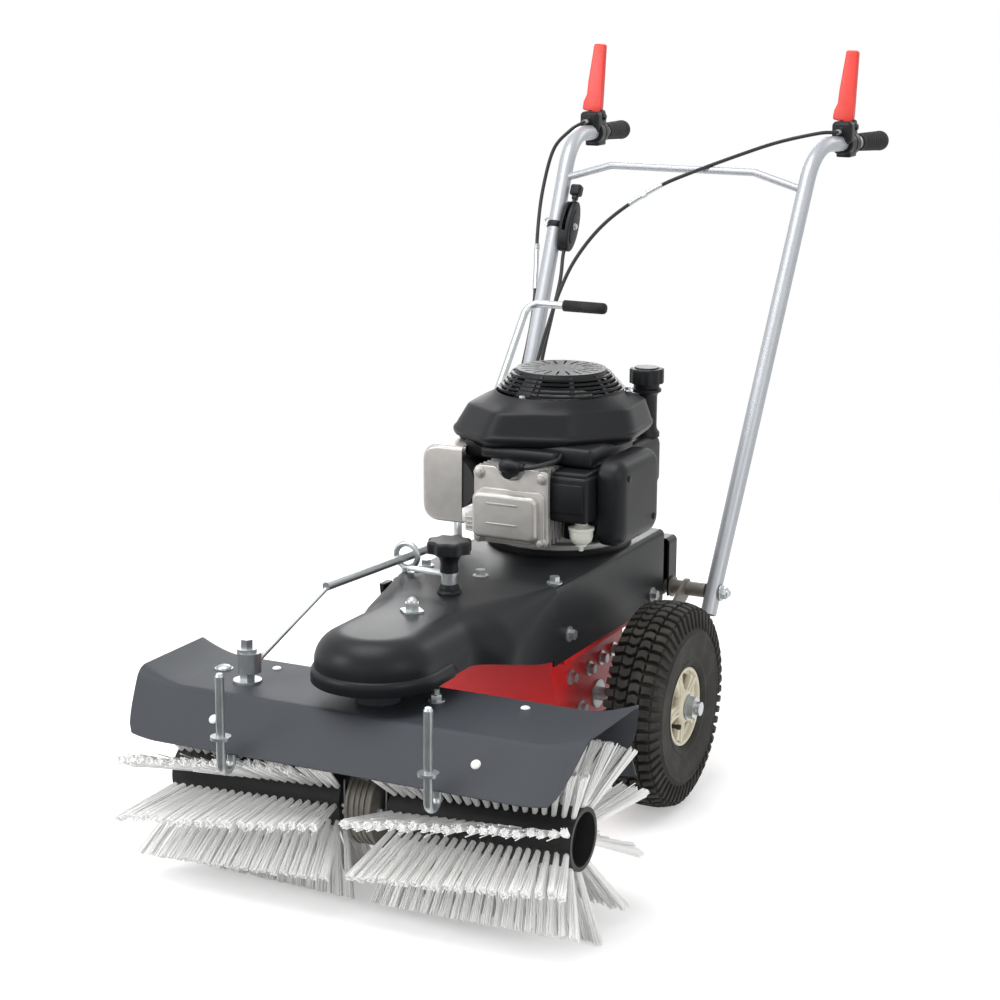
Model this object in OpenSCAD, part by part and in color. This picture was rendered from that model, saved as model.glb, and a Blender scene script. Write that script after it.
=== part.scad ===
// Walk-behind power brush sweeper, in millimetres, +Z up, front towards -Y.
// The origin is on the floor in the middle of the machine's outline.
// Places along Y count from the wheel axle; from_axle() moves them to the origin.

/* [Wheels] */
// Outside diameter of each tyre
wheel_d = 300; // [280:2:320]
// Width of each tyre
tyre_w = 84; // [76:2:88]
// Distance between the two tyre centre planes
track = 394; // [390:2:410]
// Diameter of the rim seat inside the tyre
rim_d = 116; // [104:2:124]
// Thickness of the tyre's wall
tyre_wall = 12; // [8:1:16]
// Depth of the tread grooves
tread_depth = 6; // [3:0.5:8]
// Number of tread lugs around each tyre
tread_count = 24; // [16:2:28]
// Diameter of each half axle
axle_d = 20; // [16:1:22]

/* [Brush] */
// Diameter over the bristle tips
brush_d = 260; // [240:2:266]
// Outside diameter of each brush core
core_d = 82; // [70:1:90]
// Wall of each brush core
core_wall = 6; // [4:0.5:9]
// Distance from the middle to the outer end of each core
core_end = 294; // [270:2:310]
// Distance from the middle to the inner end of each core
core_start = 36; // [35:0.5:42]
// Rows of tufts around each core
row_count = 8; // [8:1:10]
// Tufts in each row
tuft_count = 19; // [19:1:22]
// Width of a tuft at the core
tuft_base = 7; // [5:0.5:8]
// Width of a tuft at its tip, along the brush
tuft_tip = 11; // [8:0.5:12]
// How far the outermost tips lean past the core's end
tip_spread = 48; // [30:1:54]
// How far the innermost tips lean over the gear case
tip_lean = 8; // [2:0.5:9]
// Distance from the wheel axle forward to the brush axis
brush_reach = 496; // [480:2:520]
// Diameter of the brush shaft
brush_shaft_d = 30; // [24:1:32]

/* [Hood] */
// Clearance of the hood's flat top above the bristle tips
hood_rise = 10; // [9:0.5:14]
// Distance of the front lower edge ahead of the brush axis
hood_front = 126; // [122:1:132]
// Height of the front lower edge above the brush axis
hood_front_rise = 82; // [76:1:90]
// Distance of the front crease ahead of the brush axis
hood_crease = 66; // [55:1:75]
// Distance of the rear crease behind the brush axis
hood_rear = 88; // [80:1:95]
// Distance of the rear lower edge behind the brush axis
hood_skirt = 146; // [142:1:155]
// Height of the rear lower edge above the brush axis
hood_skirt_rise = 35; // [20:1:55]
// Half width of the straight part of the hood
hood_half = 285; // [275:1:292]
// Half width over the flared ends
hood_end = 328; // [315:1:334]
// Half width of the front lower edge
hood_lip_half = 300; // [294:1:310]
// Rise of the flared ends
flare_rise = 16; // [8:1:24]
// Thickness of the hood sheet
hood_sheet = 3; // [2:0.5:4]

/* [Brush head] */
// Half width of the brush gear case
gear_half = 26; // [20:1:27]
// Diameter of the gear case drum
gear_d = 112; // [90:1:114]
// Diameter of the swivel column
column_d = 60; // [50:1:66]
// Distance of the hook pins from the middle
pin_x = 149; // [140:1:160]
// Diameter of the hook pins
pin_d = 12; // [10:0.5:14]
// Distance of the hook pins ahead of the brush axis
pin_reach = 142; // [140:0.5:146]
// Free length of the hook pins above their washers
pin_len = 83; // [70:1:95]
// Diameter of the pin washers
pin_washer_d = 27; // [22:1:28]
// Distance of the swivel lug from the middle
lug_x = 190; // [184:1:196]

/* [Frame] */
// Half width of the chassis box
box_half = 117; // [114:1:119]
// Height of the chassis top
box_top = 360; // [356:1:364]
// Height of the chassis lower edge
box_low = 250; // [246:1:254]
// Front end of the chassis, ahead of the axle
box_front = 206; // [200:1:214]
// Rear end of the chassis box, behind the axle
box_rear = 185; // [175:1:190]
// Rear end of the rear cover, behind the axle
cover_rear = 238; // [237:1:246]
// Front edge of the rear cover, behind the axle
cover_front = 208; // [203:1:210]
// Sheet thickness of the frame
frame_sheet = 3; // [2:0.5:4]
// Rounding of the chassis edges
box_round = 8; // [5:0.5:12]
// Half width of the transmission case
case_half = 92; // [86:1:96]
// Length of the transmission case
case_len = 262; // [250:2:274]
// Front end of the transmission case, ahead of the axle
case_front = 172; // [164:1:180]
// Lowest height of the transmission case
case_low = 98; // [90:1:110]
// Wall of the transmission case
case_wall = 6; // [4:0.5:8]

/* [Belt cover] */
// Radius of the cover's nose
nose_r = 82; // [76:1:86]
// Height of the cover's top
cover_top = 364; // [360:1:368]
// Height of the cover's lower edge at the nose
cover_low = 298; // [294:1:299]
// Half width of the cover at the chassis
cover_half = 120; // [116:1:123]
// Wall of the belt cover
cover_wall = 3; // [2:0.5:4]
// Rounding of the cover's top edge at the nose
nose_round = 40; // [28:1:46]
// Rounding of the cover's top edge at the chassis
seam_round = 9; // [6:0.5:14]
// Distance of the star knob ahead of the axle
knob_reach = 296; // [285:1:310]
// Diameter of the star knob
knob_d = 58; // [48:1:66]
// Height of the top of the star knob
knob_top = 438; // [430:1:446]

/* [Engine] */
// Distance of the crankshaft behind the axle
crank_reach = 60; // [54:1:66]
// Diameter of the crankshaft
crank_d = 22; // [18:1:25]
// Diameter of the engine's base flange
flange_d = 206; // [196:1:212]
// Half width of the blower shroud
shroud_half = 128; // [124:1:131]
// Height of the shroud's lower edge
shroud_low = 518; // [512:1:524]
// Height of the shroud's top
shroud_top = 588; // [582:1:594]
// Diameter of the starter cover at its base
starter_d = 186; // [170:2:190]
// Diameter of the starter cover's flat top
starter_top_d = 132; // [120:2:140]
// Height of the top of the starter cover
engine_top = 618; // [612:1:626]
// Half width of the valve cover
valve_half = 58; // [52:1:60]
// Height of the valve cover
valve_h = 112; // [104:1:116]
// Front face of the valve cover, ahead of the axle
valve_reach = 120; // [116:1:124]
// Diameter of the fuel cap
cap_d = 52; // [44:1:56]

/* [Handle] */
// Diameter of the handle tubes
tube_d = 25; // [22:1:28]
// Wall of the handle tubes
tube_wall = 2; // [1.5:0.5:3]
// Bend radius of the handle tubes
tube_bend = 90; // [70:2:100]
// Half spacing of the tubes at their feet
foot_x = 184; // [180:1:190]
// Half spacing of the tubes at the bend
bend_x = 211; // [205:1:216]
// Half spacing at the grip ends
grip_x = 235; // [228:1:242]
// Distance of the tube feet behind the axle
foot_reach = 205; // [200:1:208]
// Height of the tube feet
foot_z = 230; // [225:1:235]
// Distance of the bend's corner behind the axle
bend_reach = 549; // [540:1:560]
// Height of the bend's corner
bend_z = 915; // [900:1:930]
// Distance of the grip ends behind the bend's corner
handle_back = 266; // [252:1:280]
// Height of the grip ends
grip_z = 905; // [895:1:912]
// Length of each grip
grip_len = 102; // [90:1:110]
// Diameter of each grip
grip_d = 33; // [29:1:36]
// Diameter of the cross bar
bar_d = 12; // [10:0.5:14]
// Height of the cross bar's joints on the tubes
bar_joint_z = 846; // [836:1:856]
// Rise of the cross bar above its joints
bar_rise = 25; // [15:1:32]
// Half length of the cross bar's raised middle
bar_half = 123; // [110:1:135]
// Length of each hand lever above its pivot
lever_len = 122; // [110:1:126]
// Diameter of the hand lever pivots
lever_pin_d = 7; // [5:0.5:8]

/* [Swivel rod] */
// Diameter of the swivel rod
rod_d = 12; // [10:0.5:13]
// Height of the rod above the belt cover
rod_z = 384; // [383:0.5:386]
// Distance of the rod's slanted part from the middle
rod_x = 178; // [175:1:182]
// Length of the angled hand arm
rod_arm = 129; // [120:1:135]
// Length of the rod's grip
rod_grip_len = 72; // [60:1:80]
// Diameter of the rod's grip
rod_grip_d = 18; // [15:0.5:20]

/* [Hidden] */
$fn = 48;

// Overrun of every cut past the face that it opens
over = 2;
// Clearance between still pieces that slip into each other
slip = 0.1;
// Running clearance of shafts, on the radius
run = 0.05;
// Gap kept between faces that move past each other
gap = 0.3;
// How far straight lengths of a bar reach into its bends
weld = 1;

// Places along Y from the axle, and heights, that follow from the sizes
axle_z = wheel_d / 2;
axle_r = axle_d / 2;
brush_r = brush_d / 2;
brush_z = brush_r;
head_y = -brush_reach;
hood_top = brush_d + hood_rise;
hood_front_z = brush_z + hood_front_rise;
hood_skirt_z = brush_z + hood_skirt_rise;
core_r = core_d / 2;
crank_y = crank_reach;
crank_r = crank_d / 2;
pin_y = head_y - pin_reach;
front_reach = -pin_y + pin_washer_d / 2;
rear_reach = bend_reach + handle_back;
tube_points = [[foot_x, foot_reach, foot_z], [bend_x, bend_reach, bend_z], [grip_x, rear_reach, grip_z]];
grip_dir = (tube_points[2] - tube_points[1]) / norm(tube_points[2] - tube_points[1]);
grip_back = rear_reach + grip_d / 2 * sqrt(1 - grip_dir.y * grip_dir.y);
axle_y = (front_reach - grip_back) / 2;

// Colours
black = [0.09, 0.09, 0.10];
dark_grey = [0.20, 0.21, 0.23];
silver = [0.78, 0.79, 0.82];
zinc = [0.70, 0.73, 0.74];
cast = [0.60, 0.60, 0.60];
red = [0.80, 0.08, 0.10];
lever_red = [0.93, 0.27, 0.22];
cream = [0.86, 0.84, 0.76];
white = [0.93, 0.93, 0.91];
rubber = [0.13, 0.13, 0.13];

// Shared shapes

module lift(z) {
  translate([0, 0, z]) children();
}

// Turns an upright shape to point along +X
module to_x() {
  rotate([0, 90, 0]) children();
}

module from_axle() {
  translate([0, axle_y, 0]) children();
}

module both_sides() {
  children();
  mirror([1, 0, 0]) children();
}

module on_side(side) {
  mirror([side < 0 ? 1 : 0, 0, 0]) children();
}

// An outline in Y and Z, given its length along X
module along_x(w) {
  rotate([90, 0, 90]) linear_extrude(w, center = true) children();
}

// An outline in X and Z, given its depth towards the front
module towards_front(depth) {
  rotate([90, 0, 0]) linear_extrude(depth) children();
}

module rounded_plate(w, h, r) {
  square([w, h - 2 * r], center = true);
  square([w - 2 * r, h], center = true);
  for (x = [-1, 1], y = [-1, 1]) {
    translate([x * (w / 2 - r), y * (h / 2 - r)]) circle(r);
  }
}

// A plate standing on the line y = 0 with its two upper corners rounded
module rounded_top(half, h, r) {
  translate([-half, 0]) square([2 * half, h - r]);
  translate([r - half, 0]) square([2 * (half - r), h]);
  for (x = [-1, 1]) {
    translate([x * (half - r), h - r]) circle(r);
  }
}

module hexagon(across) {
  circle(d = across / cos(30), $fn = 6);
}

function unit(v) = v / norm(v);
function turn_at(p, i) =
  (i <= 0 || i >= len(p) - 1) ? 0 : acos(unit(p[i] - p[i - 1]) * unit(p[i + 1] - p[i]));
function cut_at(p, i, bend) = bend * tan(turn_at(p, i) / 2);

module wire_section(r, bore) {
  difference() {
    circle(r);
    if (bore > 0) circle(bore);
  }
}

// A straight round bar or tube from a to b
module straight(a, b, r, bore = 0) {
  v = b - a;
  translate(a) rotate([0, acos(v.z / norm(v)), atan2(v.y, v.x)])
    linear_extrude(norm(v)) wire_section(r, bore);
}

// A round bar or tube through the points p with equal bends at the corners
module bent_bar(p, r, bend, bore = 0) {
  for (i = [0 : len(p) - 2]) {
    d = unit(p[i + 1] - p[i]);
    first = i == 0 ? 0 : cut_at(p, i, bend) - weld;
    last = i == len(p) - 2 ? 0 : cut_at(p, i + 1, bend) - weld;
    straight(p[i] + d * first, p[i + 1] - d * last, r, bore);
  }
  for (i = [1 : len(p) - 2]) {
    d1 = unit(p[i] - p[i - 1]);
    n = unit(cross(d1, p[i + 1] - p[i]));
    side = cross(n, d1);
    o = p[i] - d1 * cut_at(p, i, bend) + side * bend;
    multmatrix([
      [-side.x, d1.x, n.x, o.x],
      [-side.y, d1.y, n.y, o.y],
      [-side.z, d1.z, n.z, o.z],
      [0, 0, 0, 1]
    ]) rotate_extrude(angle = turn_at(p, i)) translate([bend, 0]) wire_section(r + run, max(bore - run, 0));
  }
}

// A skin over rings of points, listed upwards, counter-clockwise from above
module loft(rings) {
  n = len(rings[0]);
  m = len(rings);
  sides = [for (i = [0 : m - 2], j = [0 : n - 1])
    let (k = (j + 1) % n)
    each [[i * n + j, (i + 1) * n + j, (i + 1) * n + k], [i * n + j, (i + 1) * n + k, i * n + k]]];
  low = [for (j = [0 : n - 1]) j];
  high = [for (j = [n - 1 : -1 : 0]) (m - 1) * n + j];
  polyhedron(points = [for (r = rings) each r], faces = concat(sides, [low, high]), convexity = 6);
}

// A round cord swept along a smooth curve through hand-chosen points
function blend(a, b, c, d, t) =
  (2 * b + (c - a) * t + (2 * a - 5 * b + 4 * c - d) * t * t + (3 * b - a - 3 * c + d) * t * t * t) / 2;
function smooth_route(p, steps) = concat(
  [for (i = [0 : len(p) - 2], k = [0 : steps - 1])
    blend(p[max(i - 1, 0)], p[i], p[i + 1], p[min(i + 2, len(p) - 1)], k / steps)],
  [p[len(p) - 1]]);
function headings(q) = [for (i = [0 : len(q) - 1]) unit(q[min(i + 1, len(q) - 1)] - q[max(i - 1, 0)])];
function carried(t, i, n) =
  let (m = unit(n - (n * t[i]) * t[i]))
  i == len(t) - 1 ? [m] : concat([m], carried(t, i + 1, m));

// A direction that no cord runs along, from which its sides are counted
cord_side = [0.31, 0.87, 0.38];
module cord(route, r, steps, sides = 8) {
  q = smooth_route(route, steps);
  t = headings(q);
  n = carried(t, 0, cord_side);
  loft([for (i = [0 : len(q) - 1])
    [for (j = [0 : sides - 1])
      let (a = 360 * j / sides)
      q[i] + r * (cos(a) * n[i] + sin(a) * cross(t[i], n[i]))]]);
}

// Wheels

tyre_half = tyre_w / 2;
wheel_r = wheel_d / 2;
rim_r = rim_d / 2;
// Section of the tyre from bead to crown: shares of its height and of its half width
tyre_shares = [
  [0, 0.76], [0.07, 0.86], [0.22, 0.94], [0.42, 0.99], [0.62, 1], [0.78, 0.97], [0.89, 0.9],
  [0.955, 0.77], [0.985, 0.5], [1, 0.2]
];
// Places of the ring grooves across the half width, and the groove width's share of it
groove_shares = [-0.42, 0, 0.42];
groove_share = 0.09;
tread_skew = 28;

module wheel_frame(side) {
  from_axle() translate([side * track / 2, 0, axle_z]) rotate([0, 90 * side, 0]) children();
}

module tyre_section(r0, r1, half) {
  right = [for (s = tyre_shares) [r0 + s[0] * (r1 - r0), s[1] * half]];
  left = [for (i = [len(right) - 1 : -1 : 0]) [right[i].x, -right[i].y]];
  polygon(concat(right, left));
}

module tyre(side) {
  slot = 2 * groove_share * tyre_half;
  color(rubber) wheel_frame(side) difference() {
    rotate_extrude() difference() {
      tyre_section(rim_r, wheel_r, tyre_half);
      tyre_section(rim_r - over, wheel_r - tyre_wall - tread_depth, tyre_half - tyre_wall);
      for (g = groove_shares) {
        translate([wheel_r - tread_depth, g * tyre_half - slot / 2]) square([2 * tread_depth, slot]);
      }
    }
    for (i = [0 : tread_count - 1], s = [-1, 1]) {
      rotate([0, 0, 360 * (i + (s > 0 ? 0 : 1 / 2)) / tread_count])
        translate([wheel_r - tread_depth, 0, 0]) rotate([s * tread_skew, 0, 0])
          translate([0, -slot / 2, s > 0 ? slot : -tyre_w]) cube([2 * tread_depth, slot, tyre_w - slot]);
    }
  }
}
module tyre_right() { tyre(1); }
module tyre_left() { tyre(-1); }

rim_wall = 6;
rim_face = 33;
rim_web = 9;
hub_r = 21;
hub_out = 38;
hub_in = 34;
spoke_count = 5;
// Openings between the spokes as a share of their pitch, and the solid bands beside them
spoke_gap_share = 0.62;
spoke_band = 3;
module rim(side) {
  seat = rim_r - slip;
  free = seat - rim_wall - hub_r;
  half = tyre_shares[0][1] * tyre_half;
  color(cream) wheel_frame(side) difference() {
    union() {
      rotate_extrude() translate([seat - rim_wall, -half]) square([rim_wall, 2 * half]);
      lift(rim_face - rim_web) cylinder(r = seat - rim_wall / 2, h = rim_web);
      lift(-hub_in) cylinder(r = hub_r, h = hub_in + hub_out);
    }
    lift(-hub_in - over) cylinder(r = axle_r + slip, h = hub_in + hub_out + 2 * over);
    for (i = [0 : spoke_count - 1]) {
      rotate(360 * i / spoke_count) rotate_extrude(angle = 360 * spoke_gap_share / spoke_count)
        translate([hub_r + spoke_band, rim_face - rim_web - over])
        square([free - 2 * spoke_band, rim_web + 2 * over]);
    }
  }
}
module rim_right() { rim(1); }
module rim_left() { rim(-1); }

axle_inner_x = 20;
axle_washer_h = 3;
axle_nut = 30;
axle_nut_h = 9;
axle_tail = 8;
split_pin_r = 1.6;
module half_axle(side) {
  seat = hub_out + gap;
  nut_z = seat + axle_washer_h;
  color(zinc) wheel_frame(side) {
    lift(axle_inner_x - track / 2)
      cylinder(r = axle_r, h = track / 2 - axle_inner_x + nut_z + axle_nut_h + axle_tail);
    lift(seat) cylinder(r = hub_r - over, h = axle_washer_h);
    lift(nut_z) linear_extrude(axle_nut_h) hexagon(axle_nut);
    lift(nut_z + axle_nut_h + axle_tail / 2) rotate([90, 0, 0])
      cylinder(r = split_pin_r, h = axle_nut, center = true);
  }
}
module axle_right() { half_axle(1); }
module axle_left() { half_axle(-1); }

// Frame

mount_ring_h = 8;
mount_ring_lap = 8;
mount_ring_d = flange_d + mount_ring_lap;
shaft_hole_r = 42;
neck_in = 10;
neck_drop = 26;
neck_back = 3;
neck_half = box_half - neck_in;
neck_top = box_top - neck_drop;
neck_rear = cover_rear - frame_sheet - neck_back;
carrier_r = 11;
carrier_y = 222;
carrier_z = 262;
module chassis_box() {
  h = box_top - box_low;
  neck_h = neck_top - box_low;
  color(black) from_axle() difference() {
    union() {
      translate([0, box_rear, box_low]) towards_front(box_rear + box_front) difference() {
        rounded_top(box_half, h, box_round);
        translate([0, -over])
          rounded_top(box_half - frame_sheet, h - frame_sheet + over, box_round - frame_sheet);
      }
      translate([0, box_rear, box_low]) towards_front(frame_sheet) difference() {
        rounded_top(box_half - frame_sheet / 2, h - frame_sheet / 2, box_round);
        translate([0, -over])
          rounded_top(neck_half - 2 * frame_sheet, neck_h - 2 * frame_sheet + over, box_round);
      }
      translate([0, neck_rear, box_low]) towards_front(neck_rear - box_rear + frame_sheet) difference() {
        rounded_top(neck_half, neck_h, box_round);
        translate([0, -over])
          rounded_top(neck_half - frame_sheet, neck_h - frame_sheet + over, box_round - frame_sheet);
      }
      translate([0, crank_y, box_top - frame_sheet / 2])
        cylinder(d = mount_ring_d, h = mount_ring_h + frame_sheet / 2);
    }
    translate([0, crank_y, box_top - over - frame_sheet])
      cylinder(r = shaft_hole_r, h = mount_ring_h + frame_sheet + 2 * over);
    translate([0, carrier_y, carrier_z]) to_x()
      cylinder(r = carrier_r + gap, h = 2 * box_half, center = true);
  }
}

module rear_cover() {
  h = neck_top + 2 * frame_sheet - box_low;
  depth = cover_rear - cover_front;
  color(black) from_axle() difference() {
    translate([0, cover_rear, box_low]) towards_front(depth) rounded_top(box_half, h, box_round);
    translate([0, cover_rear - frame_sheet, box_low - over]) towards_front(depth)
      rounded_top(box_half - frame_sheet, h - frame_sheet + over, box_round - frame_sheet);
    translate([0, carrier_y, carrier_z]) to_x()
      cylinder(r = carrier_r + gap, h = 2 * box_half + over, center = true);
  }
}

// Arm under the belt cover that carries the swivel column
arm_rise = 2;
arm_low = cover_low + arm_rise;
arm_h = 8;
arm_half = 60;
arm_rear = 120;
column_r = column_d / 2;
module bearing_arm() {
  color(dark_grey) from_axle() difference() {
    lift(arm_low) linear_extrude(arm_h) {
      translate([0, head_y]) circle(arm_half);
      translate([-arm_half, head_y]) square([2 * arm_half, brush_reach - arm_rear]);
      translate([gap + frame_sheet - box_half, -box_front])
        square([2 * (box_half - frame_sheet - gap), box_front - arm_rear]);
    }
    translate([0, head_y, arm_low - over]) cylinder(r = column_r + run, h = arm_h + 2 * over);
  }
}

// Side outline of the transmission case: shares of its length and height
case_shares = [
  [0, 1], [0.13, 0.46], [0.36, 0.14], [0.54, 0], [0.76, 0], [0.92, 0.22], [1, 0.62], [1, 1]
];
// Size of the hollow as a share of the outline
case_hollow_share = 0.92;
case_top_h = 6;
bush_r = 16;
bush_flange_r = 21;
bush_flange_h = 3;
module case_outline(share) {
  h = box_low - case_top_h - case_low;
  mid = [case_len / 2 - case_front, case_low + h / 2];
  pts = [for (s = case_shares) [s[0] * case_len - case_front, case_low + s[1] * h]];
  polygon([for (p = pts) mid + share * (p - mid)]);
}
module transmission_case() {
  color(red) from_axle() difference() {
    union() {
      along_x(2 * case_half) case_outline(1);
      translate([0, case_len / 2 - case_front, box_low - case_top_h / 2 - gap / 2])
        cube([2 * box_half, case_len, case_top_h - gap], center = true);
    }
    along_x(2 * (case_half - case_wall)) case_outline(case_hollow_share);
    lift(axle_z) to_x() cylinder(r = bush_r + slip, h = 2 * case_half + over, center = true);
  }
}

module axle_bushes() {
  color(zinc) from_axle() both_sides() translate([case_half - case_wall, 0, axle_z]) to_x() difference() {
    union() {
      cylinder(r = bush_r, h = case_wall + bush_flange_h);
      lift(case_wall) cylinder(r = bush_flange_r, h = bush_flange_h);
    }
    lift(-over) cylinder(r = axle_r + run, h = case_wall + bush_flange_h + 2 * over);
  }
}

// Cross tube of the handle with the stays that also hold the outer axle bearings
tube_r = tube_d / 2;
// Place and thickness of the stays, as shares of the room between chassis and tyre
stay_shares = [0.605, 0.13];
stay_room = track / 2 - tyre_half - box_half;
stay_x = box_half + stay_shares[0] * stay_room;
stay_h = stay_shares[1] * stay_room;
stay_w = 30;
stay_eye_r = 20;
carrier_washer_r = 16;
carrier_washer_h = 3;
module handle_carrier() {
  lift = (carrier_z - foot_z) / (bend_z - foot_z);
  end_x = foot_x + lift * (bend_x - foot_x) - tube_r - gap;
  away = [carrier_y, carrier_z - axle_z];
  color(cast) from_axle() {
    translate([0, carrier_y, carrier_z]) to_x() cylinder(r = carrier_r, h = 2 * end_x, center = true);
    both_sides() {
      translate([box_half + gap, carrier_y, carrier_z]) to_x()
        cylinder(r = carrier_washer_r, h = carrier_washer_h);
      difference() {
        translate([stay_x, 0, axle_z]) along_x(stay_h) {
          circle(stay_eye_r);
          translate(away) circle(stay_w / 2);
          rotate(atan2(away.y, away.x)) translate([0, -stay_w / 2]) square([norm(away), stay_w]);
        }
        translate([stay_x, 0, axle_z]) to_x()
          cylinder(r = axle_r + run, h = stay_h + over, center = true);
      }
    }
  }
}

// Belt cover

// Where the cover starts to widen and where it is at its widest, ahead of the axle
neck_start = 398;
neck_end = 330;
neck_flat = 356;
// Height of the cover's lower edge at the chassis
cover_seam_low = 262;
nose_lip_h = 18;
nose_lip = 3;
nose_rings = 8;
body_rings = 16;
nose_share = 0.994;
cover_ring_points = 24;
function ease(t) = let (u = min(max(t, 0), 1)) u * u * (3 - 2 * u);
function mix(a, b, t) = a + (b - a) * t;
function cover_w(y) =
  y < head_y ? sqrt(max(nose_r * nose_r - (y - head_y) * (y - head_y), 0))
  : mix(nose_r, cover_half, ease((y + neck_start) / (neck_start - neck_end)));
// Half width of the flat top: even to the neck, then growing to the chassis
function cover_flat(y) =
  mix(nose_r - nose_round, cover_half - seam_round,
    min(max((y + neck_flat) / (neck_flat - box_front), 0), 1));
function cover_edge(y) = y < head_y ? nose_round : cover_w(y) - cover_flat(y);
function cover_bottom(y) = mix(cover_low, cover_seam_low, ease((y + neck_start) / (neck_start - box_front)));
// Height of the cover at a place, falling round over the edge
function cover_height(x, y, inset) =
  let (r = cover_edge(y) - inset, top = cover_top - inset,
    d = y < head_y ? nose_r - inset - norm([x, y - head_y]) : cover_w(y) - inset - abs(x))
  d >= r ? top : top - r + sqrt(max(r * r - (r - max(d, 0)) * (r - max(d, 0)), 0));
function cover_ring(y, inset, drop) =
  let (w = y < head_y ? sqrt(max((nose_r - inset) * (nose_r - inset) - (y - head_y) * (y - head_y), 0))
      : cover_w(y) - inset)
  concat([[-w, y, cover_bottom(y) - drop]],
    [for (j = [0 : cover_ring_points]) let (x = -w * cos(180 * j / cover_ring_points)) [x, y,
      cover_height(x, y, inset)]],
    [[w, y, cover_bottom(y) - drop]]);
module cover_skin(inset, drop, rear) {
  tip = head_y - (nose_r - inset) * nose_share;
  // Rings crowd together round the nose
  nose_ys = [for (i = [0 : nose_rings]) mix(head_y, tip, sin(90 * (nose_rings - i) / nose_rings))];
  body_ys = [for (i = [1 : body_rings]) mix(head_y, rear, i / body_rings)];
  loft([for (y = concat(nose_ys, body_ys)) cover_ring(y, inset, drop)]);
}
cover_nut_y = -402;
stud_r = 5;
module belt_cover() {
  color(black) from_axle() difference() {
    union() {
      cover_skin(0, 0, -box_front - gap);
      translate([0, head_y, cover_low]) rotate(180) rotate_extrude(angle = 180)
        translate([nose_r - cover_wall, 0]) square([cover_wall + nose_lip, nose_lip_h]);
      for (s = [-1, 1]) {
        translate([s > 0 ? nose_r - cover_wall : -nose_r - nose_lip, head_y, cover_low])
          cube([cover_wall + nose_lip, (brush_reach - neck_start) / 2, nose_lip_h]);
      }
    }
    cover_skin(cover_wall, 2 * over, over - box_front);
    translate([0, -knob_reach, cover_top - over - cover_wall])
      cylinder(r = stud_r + gap, h = cover_wall + 2 * over);
  }
}

// Fittings on the cover
nut_across = 17;
nut_h = 10;
nut_dome_r = 7.5;
cover_washer = 34;
cover_washer_h = 2.5;
diamond_share = 0.8;
module cover_nut() {
  color(zinc) from_axle() translate([0, cover_nut_y, cover_top]) {
    linear_extrude(cover_washer_h) intersection() {
      circle(d = cover_washer);
      rotate(45) square(cover_washer * diamond_share, center = true);
    }
    lift(cover_washer_h) linear_extrude(nut_h) hexagon(nut_across);
    lift(cover_washer_h + nut_h) difference() {
      sphere(nut_dome_r);
      lift(-nut_dome_r) cube(2 * nut_dome_r, center = true);
    }
  }
}

bush_low_r = 16;
bush_top_r = 12;
bush_h = 13;
tab_h = 4;
tab_len = 62;
tab_w = 22;
spacer_r = 11;
spacer_h = 12;
module knob_base() {
  hole = stud_r + gap;
  post = bush_h + spacer_h;
  color(zinc) from_axle() translate([0, -knob_reach, cover_top]) {
    rotate_extrude() polygon([
      [hole, 0], [bush_low_r, 0], [bush_top_r, bush_h], [spacer_r, bush_h], [spacer_r, post + tab_h],
        [hole, post + tab_h]
    ]);
    lift(post) linear_extrude(tab_h) difference() {
      union() {
        circle(tab_w / 2);
        translate([-tab_len, -tab_w / 4]) square([tab_len, tab_w / 2]);
      }
      circle(hole);
    }
  }
}

knob_h = 18;
knob_lobes = 8;
knob_stem_r = 12;
knob_lobe_share = 0.16;
module star_knob() {
  seat = cover_top + bush_h + spacer_h + tab_h + gap;
  lobe = knob_lobe_share * knob_d;
  color(black) from_axle() translate([0, -knob_reach, 0]) {
    lift(cover_top - cover_wall - over) cylinder(r = stud_r, h = seat - cover_top + cover_wall + 2 * over);
    lift(seat) cylinder(r = knob_stem_r, h = knob_top - knob_h - seat + over);
    lift(knob_top - knob_h) difference() {
      union() {
        cylinder(d1 = knob_d - lobe, d2 = knob_d, h = knob_h / 2);
        lift(knob_h / 2) cylinder(d1 = knob_d, d2 = knob_d - lobe, h = knob_h / 2);
      }
      for (i = [0 : knob_lobes - 1]) {
        rotate([0, 0, 360 * i / knob_lobes]) translate([knob_d / 2 + lobe / 3, 0, -over])
          cylinder(r = lobe / 1.5, h = knob_h + 2 * over);
      }
    }
  }
}

// Hexagon bolts of the frame: each a washer with a head
bolt_across = 13;
bolt_h = 8;
bolt_washer_r = 11;
bolt_washer_h = 2;
module bolt_head() {
  cylinder(r = bolt_washer_r, h = bolt_washer_h);
  lift(bolt_washer_h) linear_extrude(bolt_h) hexagon(bolt_across);
}
// Bolts on the case sides: shares of the case behind the axle and above its lowest point
case_bolt_shares = [[-0.37, 0.68], [-0.12, 0.65], [0.045, 0.68], [0.21, 0.69], [-0.23, 0.31]];
// Bolts on the chassis sides: shares of its length and height
box_bolt_shares = [[-0.77, 0.32], [0.76, 0.17]];
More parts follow.
